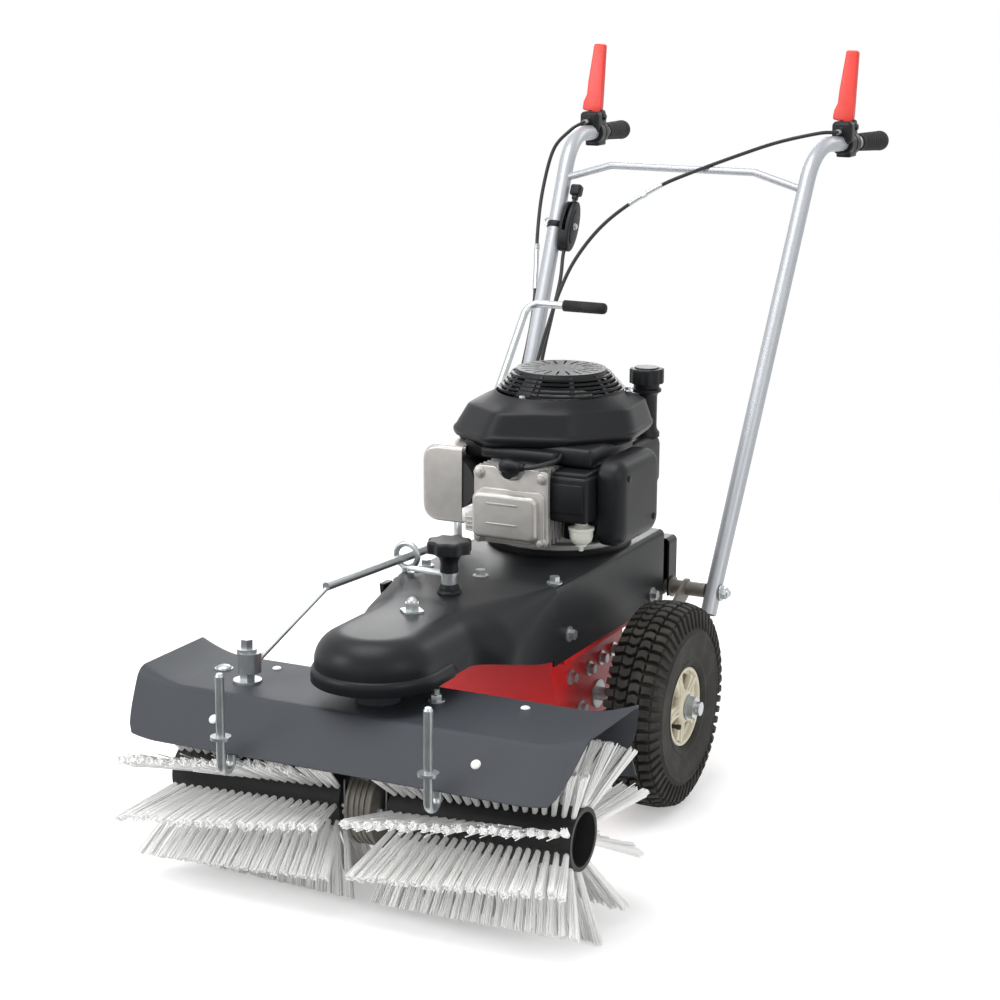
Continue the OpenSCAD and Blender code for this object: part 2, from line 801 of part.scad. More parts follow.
// Bolts on the chassis top: shares of its half width and front length
top_bolt_shares = [[-0.06, -0.91], [0.86, -0.84], [-0.86, -0.84]];
module frame_bolts() {
  h = box_low - case_low;
  color(zinc) from_axle() {
    both_sides() {
      for (s = case_bolt_shares) {
        translate([case_half, s[0] * case_len, case_low + s[1] * h]) to_x() bolt_head();
      }
      translate([box_half, box_bolt_shares[0][0] * box_front,
        box_low + box_bolt_shares[0][1] * (box_top - box_low)])
        to_x() bolt_head();
      translate([box_half, box_bolt_shares[1][0] * box_rear,
        box_low + box_bolt_shares[1][1] * (box_top - box_low)])
        to_x() bolt_head();
    }
    for (s = top_bolt_shares) {
      translate([s[0] * box_half, s[1] * box_front, box_top]) bolt_head();
    }
  }
}

// Guide eye for the swivel rod on the cover's left edge
eye_r = 13;
eye_wire_r = 4;
eye_y = -222;
eye_x = -105;
eye_nut_r = 8;
eye_nut_h = 5;
module rod_guide() {
  ring_r = eye_r + eye_wire_r;
  color(zinc) from_axle() translate([eye_x, eye_y, cover_top + gap]) {
    cylinder(r = eye_nut_r, h = eye_nut_h);
    lift(eye_nut_h + ring_r) rotate([90, 0, 0]) rotate_extrude() translate([ring_r, 0]) circle(eye_wire_r);
  }
}

// Brush head

hood_bend_r = 14;
hood_bend_steps = 4;
// Points of a rounded corner at b between a and c
function corner(a, b, c, r) =
  let (u = unit(a - b), v = unit(c - b), half = acos(u * v) / 2, cut = r / tan(half),
    o = b + unit(u + v) * r / sin(half), start = b + u * cut - o, stop = b + v * cut - o,
    a0 = atan2(start.y, start.x), turn = 180 - 2 * half)
  [for (k = [0 : hood_bend_steps]) o + r * [cos(a0 - turn * k / hood_bend_steps),
    sin(a0 - turn * k / hood_bend_steps)]];
// Outer line of the hood from the front lower edge to the rear lower edge, from the brush axis
hood_corners = [
  [-hood_front, hood_front_z], [-hood_crease, hood_top], [hood_rear, hood_top], [hood_skirt, hood_skirt_z]
];
hood_line = concat([hood_corners[0]],
  corner(hood_corners[0], hood_corners[1], hood_corners[2], hood_bend_r),
  corner(hood_corners[1], hood_corners[2], hood_corners[3], hood_bend_r),
  [hood_corners[3]]);
function hood_offset(t) = [for (i = [0 : len(hood_line) - 1])
  let (a = hood_line[max(i - 1, 0)], b = hood_line[min(i + 1, len(hood_line) - 1)], d = unit(b - a))
  hood_line[i] + t * [d.y, -d.x]];
// Share of the flare along the line: none at the lower edges, full at the top
function flare_share(p) = min(max((p.y - hood_front_z) / (hood_top - hood_front_z), 0), 1);
function hood_rib(x, share) =
  [for (p = concat(hood_line, [for (i = [len(hood_line) - 1 : -1 : 0]) hood_offset(hood_sheet)[i]]))
  let (f = flare_share(p) * share, wide = mix(x, mix(hood_lip_half, hood_end, flare_share(p)), share))
  [sign(x) * abs(wide), head_y + p.x, p.y + flare_rise * f]];
module hood() {
  n = 2 * len(hood_line);
  half = len(hood_line);
  ribs = [
    [for (p = hood_rib(hood_half, 1)) [-p.x, p.y, p.z]],
    [for (p = hood_rib(hood_half, 0)) [-p.x, p.y, p.z]],
    hood_rib(hood_half, 0),
    hood_rib(hood_half, 1)
  ];
  sides = [for (i = [0 : 2], j = [0 : n - 1]) let (k = (j + 1) % n)
    each [[i * n + j, (i + 1) * n + j, (i + 1) * n + k], [i * n + j, (i + 1) * n + k, i * n + k]]];
  caps = [for (j = [0 : half - 2]) let (k = n - 1 - j, e = 3 * n)
    each [[j, j + 1, k - 1], [j, k - 1, k], [e + j, e + k - 1, e + j + 1], [e + j, e + k, e + k - 1]]];
  color(dark_grey) from_axle() difference() {
    polyhedron(points = [for (r = ribs) each r], faces = concat(sides, caps), convexity = 6);
    translate([0, head_y, hood_top - hood_sheet - over])
      cylinder(r = column_r + slip, h = hood_sheet + 2 * over);
  }
}

gear_flange_lap = 2;
gear_flange_r = gear_d / 2 + gear_flange_lap;
gear_flange_h = 4;
gear_bolt_count = 6;
gear_bolt_r = 4;
gear_bolt_h = 3;
gear_neck_r = 36;
seat_flange_r = 58;
seat_flange_h = 6;
collar_r = 44;
collar_h = 14;
retainer_r = 38;
retainer_h = 6;
input_r = 10;
input_low = 62;
module gear_case() {
  arm_top = arm_low + arm_h;
  column_top = arm_top + gap + retainer_h;
  hood_low = hood_top - hood_sheet - slip;
  color(cast) from_axle() translate([0, head_y, 0]) difference() {
    union() {
      lift(brush_z) to_x() cylinder(d = gear_d, h = 2 * gear_half, center = true);
      both_sides() translate([gear_half, 0, brush_z]) to_x() {
        cylinder(r = gear_flange_r, h = gear_flange_h);
        for (i = [0 : gear_bolt_count - 1]) {
          rotate([0, 0, 360 * i / gear_bolt_count])
            translate([gear_flange_r - 2 * gear_bolt_r, 0, gear_flange_h])
            cylinder(r = gear_bolt_r, h = gear_bolt_h);
        }
      }
      lift(brush_z) cylinder(r = min(gear_neck_r, gear_half + gear_flange_h), h = hood_low - brush_z);
      lift(hood_low - seat_flange_h) cylinder(r = seat_flange_r, h = seat_flange_h);
      lift(brush_z) cylinder(r = column_r, h = column_top - brush_z);
      lift(arm_low - gap - collar_h) cylinder(r = collar_r, h = collar_h);
      lift(arm_top + gap) cylinder(r = retainer_r, h = retainer_h);
    }
    lift(brush_z + input_low) cylinder(r = input_r + run, h = column_top - brush_z);
    lift(brush_z) to_x()
      cylinder(r = brush_shaft_d / 2 + run, h = 4 * gear_half, center = true);
  }
}

// Hook pins with a washer, hooked round under the hood's front edge
hook_bend = 12;
hook_drop = 10;
pin_washer_rise = 24;
pin_tip = 4;
hook_tail = 7;
pin_washer_h = 4;
module hook_pins() {
  r = pin_d / 2;
  mid = hood_front_z - hook_drop;
  washer_z = hood_front_z + pin_washer_rise;
  top = washer_z + pin_washer_h + pin_len;
  color(zinc) from_axle() both_sides() translate([pin_x, pin_y, 0]) {
    lift(mid) cylinder(r = r, h = top - pin_tip - mid);
    lift(top - pin_tip) cylinder(r1 = r, r2 = r - pin_tip / 2, h = pin_tip);
    lift(washer_z) cylinder(d = pin_washer_d, h = pin_washer_h);
    translate([0, hook_bend, mid]) rotate([-90, 0, -90]) rotate_extrude(angle = 180)
      translate([hook_bend, 0]) circle(r);
    translate([0, 2 * hook_bend, mid]) cylinder(r = r, h = hook_tail);
  }
}

lug_base_r = 19;
lug_base_h = 3;
lug_nut = 19;
lug_nut_h = 11;
lug_neck_r = 5;
lug_lead = 12;
lug_y = head_y - lug_lead;
lug_ring_r = 13;
lug_ring_h = 4;
lug_cap_nut = 15;
lug_cap_h = 13;
rod_eye_h = 27;
module swivel_lug() {
  foot = hood_top + lug_base_h;
  ring_z = foot + lug_nut_h + rod_eye_h + 2 * gap;
  color(zinc) from_axle() translate([-lug_x, lug_y, 0]) {
    lift(hood_top) cylinder(r = lug_base_r, h = lug_base_h);
    lift(foot) linear_extrude(lug_nut_h) hexagon(lug_nut);
    lift(foot) cylinder(r = lug_neck_r, h = ring_z + lug_ring_h - foot);
    lift(ring_z) cylinder(r = lug_ring_r, h = lug_ring_h);
    lift(ring_z + lug_ring_h) linear_extrude(lug_cap_h) hexagon(lug_cap_nut);
  }
}

// Screws on the hood: shares of its half width and depth
screw_shares = [[0.65, 0.62], [-0.65, 0.62]];
screw_r = 6;
screw_h = 2.5;
hood_bolt_share = 0.25;
module hood_screws() {
  color(white) from_axle() {
    for (s = screw_shares) {
      translate([s[0] * hood_half, head_y + s[1] * hood_rear, hood_top])
        cylinder(r1 = screw_r, r2 = screw_r / 2, h = screw_h);
    }
    translate([hood_bolt_share * hood_half, head_y + screw_shares[0][1] * hood_rear / 2, hood_top])
      bolt_head();
  }
}

// Belt drive
belt_z = 334;
belt_h = 10;
belt_t = 8;
brush_pulley_r = 50;
engine_pulley_r = 36;
pulley_rim = 4;
input_top = 350;
module pulley(r, bore) {
  channel = belt_h + 2 * gap;
  h = channel + 2 * pulley_rim;
  lift(belt_z) difference() {
    cylinder(r = r, h = h, center = true);
    rotate_extrude() translate([r - belt_t - gap, -channel / 2]) square([belt_t + gap + over, channel]);
    cylinder(r = bore, h = h + over, center = true);
  }
}
module input_shaft() {
  color(zinc) from_axle() translate([0, head_y, brush_z + input_low + gap])
    cylinder(r = input_r, h = input_top - brush_z - input_low - gap);
}
module brush_pulley() {
  color(cast) from_axle() translate([0, head_y, 0]) pulley(brush_pulley_r, input_r + run);
}
// Belt outline round both pulleys
module belt_outline(inset) {
  r1 = brush_pulley_r - inset;
  r2 = engine_pulley_r - inset;
  a = asin((r1 - r2) / (crank_y - head_y));
  translate([0, head_y]) circle(r1);
  translate([0, crank_y]) circle(r2);
  polygon([
    [r1 * cos(a), head_y + r1 * sin(a)], [r2 * cos(a), crank_y + r2 * sin(a)],
    [-r2 * cos(a), crank_y + r2 * sin(a)], [-r1 * cos(a), head_y + r1 * sin(a)]
  ]);
}
module drive_belt() {
  color(rubber) from_axle() lift(belt_z) linear_extrude(belt_h, center = true) difference() {
    belt_outline(0);
    belt_outline(belt_t);
  }
}

// Brush

hub_web = 8;
hub_recess = 26;
module brush_shaft() {
  color(zinc) from_axle() translate([0, head_y, brush_z]) to_x()
    cylinder(d = brush_shaft_d, h = 2 * (core_end - hub_recess), center = true);
}
module brush_core(side) {
  len = core_end - core_start;
  color(rubber) from_axle() on_side(side) translate([core_start, head_y, brush_z]) to_x() difference() {
    cylinder(r = core_r, h = len);
    lift(hub_web) cylinder(r = core_r - core_wall, h = len - 2 * hub_web - hub_recess);
    lift(len - hub_recess) cylinder(r = core_r - core_wall, h = hub_recess + over);
    lift(-over) cylinder(d = brush_shaft_d + 2 * slip, h = len + 2 * over);
  }
}
module core_right() { brush_core(1); }
module core_left() { brush_core(-1); }

// Bristles of one half: a thin sleeve on the core whose outer cells grow into tufts.
// Three lines run along the brush for each row, the first two beside its tufts.
sleeve_h = 3;
tuft_depth_share = 0.9;
function bristle_angle(line) =
  let (row = floor(line / 3), part = line % 3, pitch = 360 / row_count,
    wide = 2 * asin(tuft_base / 2 / (core_r + sleeve_h)))
  row * pitch - 90 + (part == 0 ? -wide / 2 : part == 1 ? wide / 2 : pitch / 2);
// Place of a cell edge along the core: tuft edges alternate with gaps
function bristle_x(k) =
  let (pitch = (core_end - core_start) / tuft_count, i = floor((k - 1) / 2))
  k == 0 ? core_start : k == 2 * tuft_count + 1 ? core_end
  : core_start + pitch * (i + 1 / 2) + ((k - 1) % 2 == 0 ? -1 : 1) * tuft_base / 2;
// Lean of a tuft's tip from its foot, even along the brush
function tip_x(x) = mix(core_start - tip_lean, core_end + tip_spread,
  (x - core_start) / (core_end - core_start));
function round_point(x, r, a) = [x, head_y + r * cos(a), brush_z + r * sin(a)];
module bristles(side) {
  lines = 3 * row_count;
  marks = 2 * tuft_count + 2;
  sleeve_r = core_r + sleeve_h;
  tip_r = brush_r / cos(asin(tuft_tip * tuft_depth_share / 2 / brush_r)) - gap / 3;
  outer = [for (i = [0 : lines - 1], k = [0 : marks - 1])
    round_point(bristle_x(k), sleeve_r, bristle_angle(i))];
  inner_r = (core_r + slip) / cos(180 / row_count / 2);
  inner = [for (i = [0 : lines - 1], k = [0, marks - 1])
    round_point(bristle_x(k), inner_r, bristle_angle(i))];
  tips = [for (row = [0 : row_count - 1], t = [0 : tuft_count - 1], c = [0 : 3])
    let (pitch = (core_end - core_start) / tuft_count, x = tip_x(core_start + pitch * (t + 1 / 2)),
      a = row * 360 / row_count - 90, da = asin(tuft_tip * tuft_depth_share / 2 / brush_r),
      dx = (c == 1 || c == 2 ? 1 : -1) * tuft_tip / 2)
    round_point(x + dx, tip_r, a + (c > 1 ? da : -da))];
  base_in = lines * marks;
  base_tip = base_in + 2 * lines;
  cells = [for (i = [0 : lines - 1], k = [0 : marks - 2])
    let (j = (i + 1) % lines, a = i * marks + k, b = i * marks + k + 1, c = j * marks + k + 1,
      d = j * marks + k,
      tuft = i % 3 == 0 && k % 2 == 1, e = base_tip + 4 * (floor(i / 3) * tuft_count + floor(k / 2)))
    each tuft ? [
      [a, e, b], [b, e, e + 1], [b, e + 1, c], [c, e + 1, e + 2],
      [c, e + 2, d], [d, e + 2, e + 3], [d, e + 3, a], [a, e + 3, e],
      [e, e + 3, e + 2], [e, e + 2, e + 1]
    ] : [[a, d, c], [a, c, b]]];
  inside = [for (i = [0 : lines - 1])
    let (j = (i + 1) % lines, a = base_in + 2 * i, b = a + 1, d = base_in + 2 * j, c = d + 1)
    each [[a, c, d], [a, b, c]]];
  ends = [for (i = [0 : lines - 1])
    let (j = (i + 1) % lines, a = i * marks, d = j * marks, p = base_in + 2 * i, q = base_in + 2 * j,
      m = marks - 1)
    each [[a, p, q], [a, q, d], [a + m, q + 1, p + 1], [a + m, d + m, q + 1]]];
  color(white) from_axle() on_side(side)
    polyhedron(points = concat(outer, inner, tips), faces = concat(cells, inside, ends), convexity = 10);
}
module bristles_right() { bristles(1); }
module bristles_left() { bristles(-1); }

// Swivel rod: barrel on the lug, bar through the guide, slanted shaft and angled hand arm

rod_bend = 22;
rod_eye_r = 16;
rod_eye_play = 3.4;
rod_eye_run = 1;
rod_arm_y = 318;
rod_arm_z = 667;
rod_foot_y = 74;
rod_r = rod_d / 2;
rod_fine_r = 3;
rod_points = [
  [-rod_x, rod_arm_y, rod_arm_z], [-rod_x, rod_foot_y, rod_z], [-92, -90, rod_z], [-126, -410, rod_z]
];
module swivel_rod() {
  slot = lug_neck_r + rod_eye_run;
  low = hood_top + lug_base_h + lug_nut_h + gap;
  color(zinc) from_axle() {
    bent_bar(concat([[rod_arm - rod_x, rod_arm_y, rod_arm_z]], rod_points), rod_r, rod_bend);
    straight(rod_points[3] - [0, 0, rod_r - rod_fine_r], [rod_eye_r - 2 * over - lug_x,
      lug_y + rod_eye_r / 2, low + rod_eye_h / 2], rod_fine_r);
    translate([-lug_x, lug_y, low]) linear_extrude(rod_eye_h) difference() {
      translate([rod_eye_play, 0]) circle(rod_eye_r);
      circle(slot);
      translate([2 * rod_eye_play, 0]) circle(slot);
      translate([0, -slot]) square([2 * rod_eye_play, 2 * slot]);
    }
  }
}
module rod_grip() {
  end = rod_arm - rod_x;
  color(black) from_axle() translate([end - rod_grip_len + rod_r, rod_arm_y, rod_arm_z]) to_x() difference() {
    cylinder(d = rod_grip_d, h = rod_grip_len);
    lift(-over) cylinder(r = rod_r + slip, h = rod_grip_len - rod_r + slip + over);
  }
}

// Engine

base_z = box_top + mount_ring_h;
flange_h = 7;
block_half = 50;
case_r = 84;
case_head = 478;
fin_count = 6;
fin_h = 3;
fin_reach = 6;
valve_low = 388;
valve_flange = 8;
valve_y = -valve_reach;
head_depth = 20;
head_back = valve_y + head_depth;
module crankcase() {
  color(cast) from_axle() difference() {
    union() {
      translate([0, crank_y, base_z]) cylinder(d = flange_d, h = flange_h);
      translate([0, crank_y, base_z]) cylinder(r = case_r, h = case_head - base_z);
      translate([-block_half, head_back, valve_low + fin_reach])
        cube([2 * block_half, crank_y - head_back, case_head - valve_low]);
      for (i = [0 : fin_count - 1]) {
        translate([-block_half - fin_reach / 2, mix(head_back, crank_y - case_r, i / fin_count), valve_low])
          cube([2 * block_half + fin_reach, fin_h, valve_h]);
      }
    }
    translate([0, crank_y, base_z - over])
      cylinder(r = crank_r + run, h = case_head - base_z + 4 * over + fin_reach);
  }
}

notch_r = 15;
panel_h = 70;
panel_shift = 6;
panel_reach = 12;
valve_round = 8;
module valve_cover() {
  mid = valve_low + valve_h / 2;
  body_back = head_back - slip;
  color(silver) from_axle() {
    translate([0, body_back, mid]) towards_front(valve_flange) difference() {
      rounded_plate(2 * valve_half, valve_h, valve_round);
      translate([0, valve_h / 2]) circle(notch_r);
    }
    translate([-panel_shift, body_back - valve_flange, valve_low + panel_h / 2 + valve_round])
      towards_front(panel_reach)
      rounded_plate(2 * (valve_half - panel_shift), panel_h, valve_round);
    for (x = [-1, 1], z = [-1, 1]) {
      translate([x * (valve_half - valve_round), body_back - valve_flange,
        mid + z * (valve_h / 2 - valve_round)])
        towards_front(bolt_washer_h) circle(bolt_across / 2);
    }
  }
}

// Rounded plan outline of the blower shroud at a height, as a share of its size
shroud_lead = 5;
shroud_y = crank_y - shroud_lead;
shroud_deep = 10;
shroud_points = 48;
shroud_wall = 3;
// Shroud levels: shares of its height and of its half width
shroud_shares = [
  [0, 0.97], [0.05, 0.99], [0.14, 1.01], [0.2, 1.005], [0.27, 0.985], [0.5, 0.95], [0.7, 0.915],
  [0.78, 0.88], [0.87, 0.81], [0.95, 0.75], [1, 0.72]
];
shroud_power = 0.72;
function power(v) = sign(v) * pow(abs(v), shroud_power);
function shroud_ring(z, half, share) =
  [for (j = [0 : shroud_points - 1]) let (a = 360 * j / shroud_points)
    [half * power(cos(a)) - shroud_deep * share, shroud_y + (half + shroud_deep) * power(sin(a)), z]];
module shroud_skin(inset, drop) {
  h = shroud_top - shroud_low;
  loft([for (s = shroud_shares)
    shroud_ring(shroud_low + s[0] * h - inset - (s[0] == 0 ? drop : 0), s[1] * shroud_half - inset,
      1 - s[0])]);
}
module engine_shroud() {
  color(black) from_axle() difference() {
    shroud_skin(0, 0);
    shroud_skin(shroud_wall, over);
    translate([0, crank_y, shroud_top - shroud_wall - over])
      cylinder(d = starter_top_d + 2 * shroud_wall, h = shroud_wall + 2 * over);
  }
}

// Starter cover: stacked rings joined by ribs under a slotted top
starter_rings = 5;
starter_wall = 3;
starter_ribs = 10;
starter_slots = 20;
module starter_cover() {
  low_r = starter_d / 2;
  top_r = starter_top_d / 2;
  h = engine_top - shroud_top;
  color(black) from_axle() translate([0, crank_y, shroud_top]) {
    for (i = [0 : starter_rings - 1]) {
      z = i * (h - starter_wall) / starter_rings;
      r = mix(low_r, top_r + starter_wall, i / starter_rings);
      lift(z) rotate_extrude() translate([r - 2 * starter_wall, 0]) square([2 * starter_wall, starter_wall]);
    }
    difference() {
      lift(h - 2 * starter_wall) cylinder(r1 = top_r + starter_wall, r2 = top_r, h = 2 * starter_wall);
      lift(h - 3 * starter_wall) cylinder(r = top_r - starter_wall, h = 2 * starter_wall);
      for (i = [0 : starter_slots - 1]) {
        rotate([0, 0, 360 * i / starter_slots])
          translate([top_r / 2, -starter_wall / 2, h - 2 * starter_wall])
          cube([top_r / 2 - 2 * starter_wall, starter_wall, 3 * starter_wall]);
      }
    }
    for (i = [0 : starter_ribs - 1]) {
      rotate([0, 0, 360 * (i + 1 / 2) / starter_ribs]) rotate([90, 0, 0])
        linear_extrude(2 * starter_wall, center = true)
        polygon([
          [low_r - 2 * starter_wall, 0], [low_r, 0],
          [top_r + starter_wall, h - starter_wall], [top_r - starter_wall, h - starter_wall]
        ]);
    }
  }
}

// Fuel tank behind the crankcase, with its filler neck and cap
tank_low = 420;
tank_top = 502;
tank_right = 114;
tank_left = -92;
tank_rear = 222;
tank_front = 92;
tank_round = 26;
tank_clear = 4;
neck_x = 77;
neck_y = 200;
neck_r = 19;
cap_top = 604;
cap_h = 24;
cap_teeth = 16;
cap_tooth_r = 2.4;
module fuel_tank() {
  w = tank_right - tank_left;
  deep = tank_rear - tank_front;
  color(black) from_axle() {
    lift(tank_low) linear_extrude(tank_top - tank_low) difference() {
      translate([tank_left + w / 2, tank_front + deep / 2]) rounded_plate(w, deep, tank_round);
      translate([0, crank_y]) circle(case_r + tank_clear);
    }
    lift(base_z + flange_h) linear_extrude(tank_low - base_z - flange_h) difference() {
      translate([0, crank_y]) circle(flange_d / 2);
      translate([0, crank_y]) circle(case_r + slip);
      translate([-flange_d, -flange_d]) square([2 * flange_d, flange_d + crank_y + case_r / 2]);
    }
    translate([neck_x, neck_y, tank_top]) cylinder(r = neck_r, h = cap_top - cap_h - tank_top - gap);
  }
}
module fuel_cap() {
  color(black) from_axle() translate([neck_x, neck_y, cap_top - cap_h]) difference() {
    cylinder(d = cap_d, h = cap_h);
    for (i = [0 : cap_teeth - 1]) {
      rotate([0, 0, 360 * i / cap_teeth]) translate([cap_d / 2, 0, -over])
        cylinder(r = cap_tooth_r, h = cap_h + 2 * over);
    }
  }
}

// Muffler on the left of the cylinder, in its sheet shield
muffler_x = -112;
muffler_z = 460;
muffler_r = 40;
muffler_len = 94;
shield_out = -157;
shield_in = -92;
shield_low = 402;
shield_high = 516;
shield_front = -80;
shield_rear = 22;
shield_chamfer = 22;
shield_sheet = 2;
pipe_r = 14;
muffler_front = shield_front + shield_sheet + gap;
module muffler() {
  color(dark_grey) from_axle() {
    translate([muffler_x, muffler_front + muffler_len, muffler_z]) rotate([90, 0, 0])
      cylinder(r = muffler_r, h = muffler_len);
    translate([muffler_x, muffler_front + muffler_len / 2, muffler_z]) to_x()
      cylinder(r = pipe_r, h = -muffler_x - block_half - fin_reach / 2 - gap);
  }
}
module shield_outline(inset) {
  c = shield_chamfer - inset / 2;
  polygon([
    [shield_out + inset + c, shield_low + inset], [shield_in + over, shield_low + inset],
    [shield_in + over, shield_high - inset], [shield_out + inset + c, shield_high - inset],
    [shield_out + inset, shield_high - inset - c], [shield_out + inset, shield_low + inset + c]
  ]);
}
module muffler_shield() {
  deep = shield_rear - shield_front;
  color(silver) from_axle() difference() {
    translate([0, shield_rear, 0]) towards_front(deep) shield_outline(0);
    translate([0, shield_rear + over, 0]) towards_front(deep - shield_sheet + over)
      shield_outline(shield_sheet);
    translate([shield_in, shield_front - over, shield_low - over])
      cube([2 * over, deep + 2 * over, shield_high - shield_low + 2 * over]);
  }
}

// Air cleaner on the right, over the intake elbow and the carburettor
cleaner_in = 112;
cleaner_out = 152;
cleaner_front = -62;
cleaner_rear = 84;
cleaner_low = 386;
cleaner_high = 512;
cleaner_round = 20;
cleaner_taper = 9;
cleaner_points = 8;
function rounded_ring(w, h, r) =
  [for (q = [0 : 3], k = [0 : cleaner_points]) let (a = 90 * q + 90 * k / cleaner_points)
    [(q == 0 || q == 3 ? 1 : -1) * (w / 2 - r) + r * cos(a), (q < 2 ? 1 : -1) * (h / 2 - r) + r * sin(a)]];
module air_cleaner() {
  w = cleaner_rear - cleaner_front;
  h = cleaner_high - cleaner_low;
  levels = [[cleaner_in, cleaner_taper / 2], [cleaner_in + cleaner_taper, 0],
    [cleaner_out - cleaner_taper, 0], [cleaner_out, cleaner_taper]];
  color(black) from_axle()
    translate([0, (cleaner_front + cleaner_rear) / 2, (cleaner_low + cleaner_high) / 2])
    loft([for (l = levels)
      [for (p = rounded_ring(w - 2 * l[1], h - 2 * l[1], cleaner_round)) [l[0], p.x, p.y]]]);
}

elbow_front = -94;
elbow_rear = -34;
elbow_in = block_half + fin_reach / 2 + gap;
elbow_low = 426;
elbow_high = 498;
elbow_round = 6;
module intake_elbow() {
  w = cleaner_in - gap - elbow_in;
  h = elbow_high - elbow_low;
  color(black) from_axle() translate([elbow_in + w / 2, elbow_rear, elbow_low + h / 2])
    towards_front(elbow_rear - elbow_front) rounded_plate(w, h, elbow_round);
}

bowl_x = 92;
bowl_y = -66;
bowl_r = 17;
bowl_h = 24;
bowl_rise = 16;
bowl_low = base_z + flange_h + bowl_rise;
valve_body_r = 9;
module carburettor() {
  color(white) from_axle() translate([bowl_x, bowl_y, 0]) {
    lift(bowl_low) cylinder(r1 = bowl_r - bowl_h / 4, r2 = bowl_r, h = bowl_h);
    lift(bowl_low + bowl_h) cylinder(r = valve_body_r, h = elbow_low - bowl_low - bowl_h);
  }
}

// Plug cap in the notch of the valve cover, and its lead to the coil under the shroud
plug_drop = 4;
plug_z = valve_low + valve_h - plug_drop;
plug_r = 9;
plug_boot_r = 10;
plug_boot_len = 36;
lead_r = 3.5;
module plug_cap() {
  color(black) from_axle() {
    translate([0, head_back - slip, plug_z]) towards_front(valve_flange + plug_boot_r) circle(plug_r);
    translate([-plug_boot_r, valve_y + over, plug_z + plug_r]) to_x()
      cylinder(r = plug_boot_r, h = plug_boot_len);
  }
}
lead_points = [
  [26.3, -118, 505], [36, -116, 506], [46, -108, 508], [54, -96, 510], [58, -84, 511], [58, -74, 512],
    [57, -63, 516]
];
module plug_lead() {
  color(black) from_axle() cord(lead_points, lead_r, 3);
}

flywheel_r = 78;
flywheel_rise = 24;
flywheel_low = shroud_low + flywheel_rise;
flywheel_h = 16;
cup_r = 46;
cup_h = 20;
blade_count = 12;
blade_h = 12;
blade_w = 3;
crank_drop = 16;
crank_low = belt_z - crank_drop;
module crankshaft() {
  color(zinc) from_axle() translate([0, crank_y, crank_low])
    cylinder(r = crank_r, h = flywheel_low + flywheel_h + cup_h - crank_low);
}
module flywheel() {
  color(cast) from_axle() translate([0, crank_y, flywheel_low]) difference() {
    union() {
      cylinder(r = flywheel_r, h = flywheel_h);
      lift(flywheel_h) cylinder(r = cup_r, h = cup_h);
      for (i = [0 : blade_count - 1]) {
        rotate([0, 0, 360 * i / blade_count]) translate([cup_r - over, -blade_w / 2, flywheel_h - over])
          cube([flywheel_r - cup_r, blade_w, blade_h + over]);
      }
    }
    lift(-over) cylinder(r = crank_r + run, h = flywheel_h + cup_h + 2 * over);
  }
}
module engine_pulley() {
  color(cast) from_axle() translate([0, crank_y, 0]) pulley(engine_pulley_r, crank_r + run);
}

// Handle

grip_end = 6;
module handle_tube(side) {
  pts = [tube_points[0], tube_points[1], tube_points[2] - grip_end * grip_dir];
  color(silver) from_axle() on_side(side) bent_bar(pts, tube_r, tube_bend, tube_r - tube_wall);
}
module handle_right() { handle_tube(1); }
module handle_left() { handle_tube(-1); }

function on_tube(z) = mix(tube_points[0], tube_points[1], (z - foot_z) / (bend_z - foot_z));
bar_bend = 25;
module cross_bar() {
  joint = on_tube(bar_joint_z);
  bar_r = bar_d / 2;
  pts = [
    [-joint.x, joint.y, bar_joint_z], [-bar_half, joint.y, bar_joint_z + bar_rise],
    [bar_half, joint.y, bar_joint_z + bar_rise], [joint.x, joint.y, bar_joint_z]
  ];
  color(silver) from_axle() difference() {
    bent_bar(pts, bar_r, bar_bend);
    both_sides()
      straight(on_tube(bar_joint_z - tube_d * 2), on_tube(bar_joint_z + tube_d * 2), tube_r + slip);
  }
}

module grips() {
  start = tube_points[2] - grip_len * grip_dir;
  color(rubber) from_axle() both_sides() difference() {
    straight(start, tube_points[2], grip_d / 2);
    straight(start - over * grip_dir, tube_points[2] - (grip_end - slip) * grip_dir, tube_r + slip);
  }
}

// Lever clamps round the tubes, with ears for the lever pivots and a cable stop
clamp_len = 46;
clamp_r = 19;
clamp_back = 127;
ear_rise = 26;
ear_half = 8.4;
ear_w = 4;
ear_r = 12;
stop_r = 6;
stop_len = 30;
lever_pin_r = lever_pin_d / 2;
clamp_mid = tube_points[1] + grip_dir * clamp_back / grip_dir.y;
pivot = clamp_mid + [0, 0, ear_rise];
module lever_clamps() {
  a = clamp_mid - grip_dir * clamp_len / 2;
  b = clamp_mid + grip_dir * clamp_len / 2;
  color(black) from_axle() both_sides() {
    difference() {
      union() {
        straight(a, b, clamp_r);
        for (s = [-1, 1]) {
          translate([pivot.x + s * (ear_half + ear_w / 2), pivot.y, 0]) along_x(ear_w) {
            translate([0, pivot.z]) circle(ear_r);
            translate([-ear_r, clamp_mid.z]) square([2 * ear_r, ear_rise]);
          }
        }
      }
      straight(a - over * grip_dir, b + over * grip_dir, tube_r + slip);
      translate([pivot.x, pivot.y, pivot.z]) to_x()
        cylinder(r = hub_play + lever_hub_r, h = 2 * ear_half, center = true);
    }
    translate(pivot) to_x() cylinder(r = lever_pin_r, h = 2 * ear_half + ear_w, center = true);
    translate([pivot.x, pivot.y - clamp_len / 4, clamp_mid.z + tube_r + stop_r + over]) rotate([90, 0, 0])
      cylinder(r = stop_r, h = stop_len);
  }
}

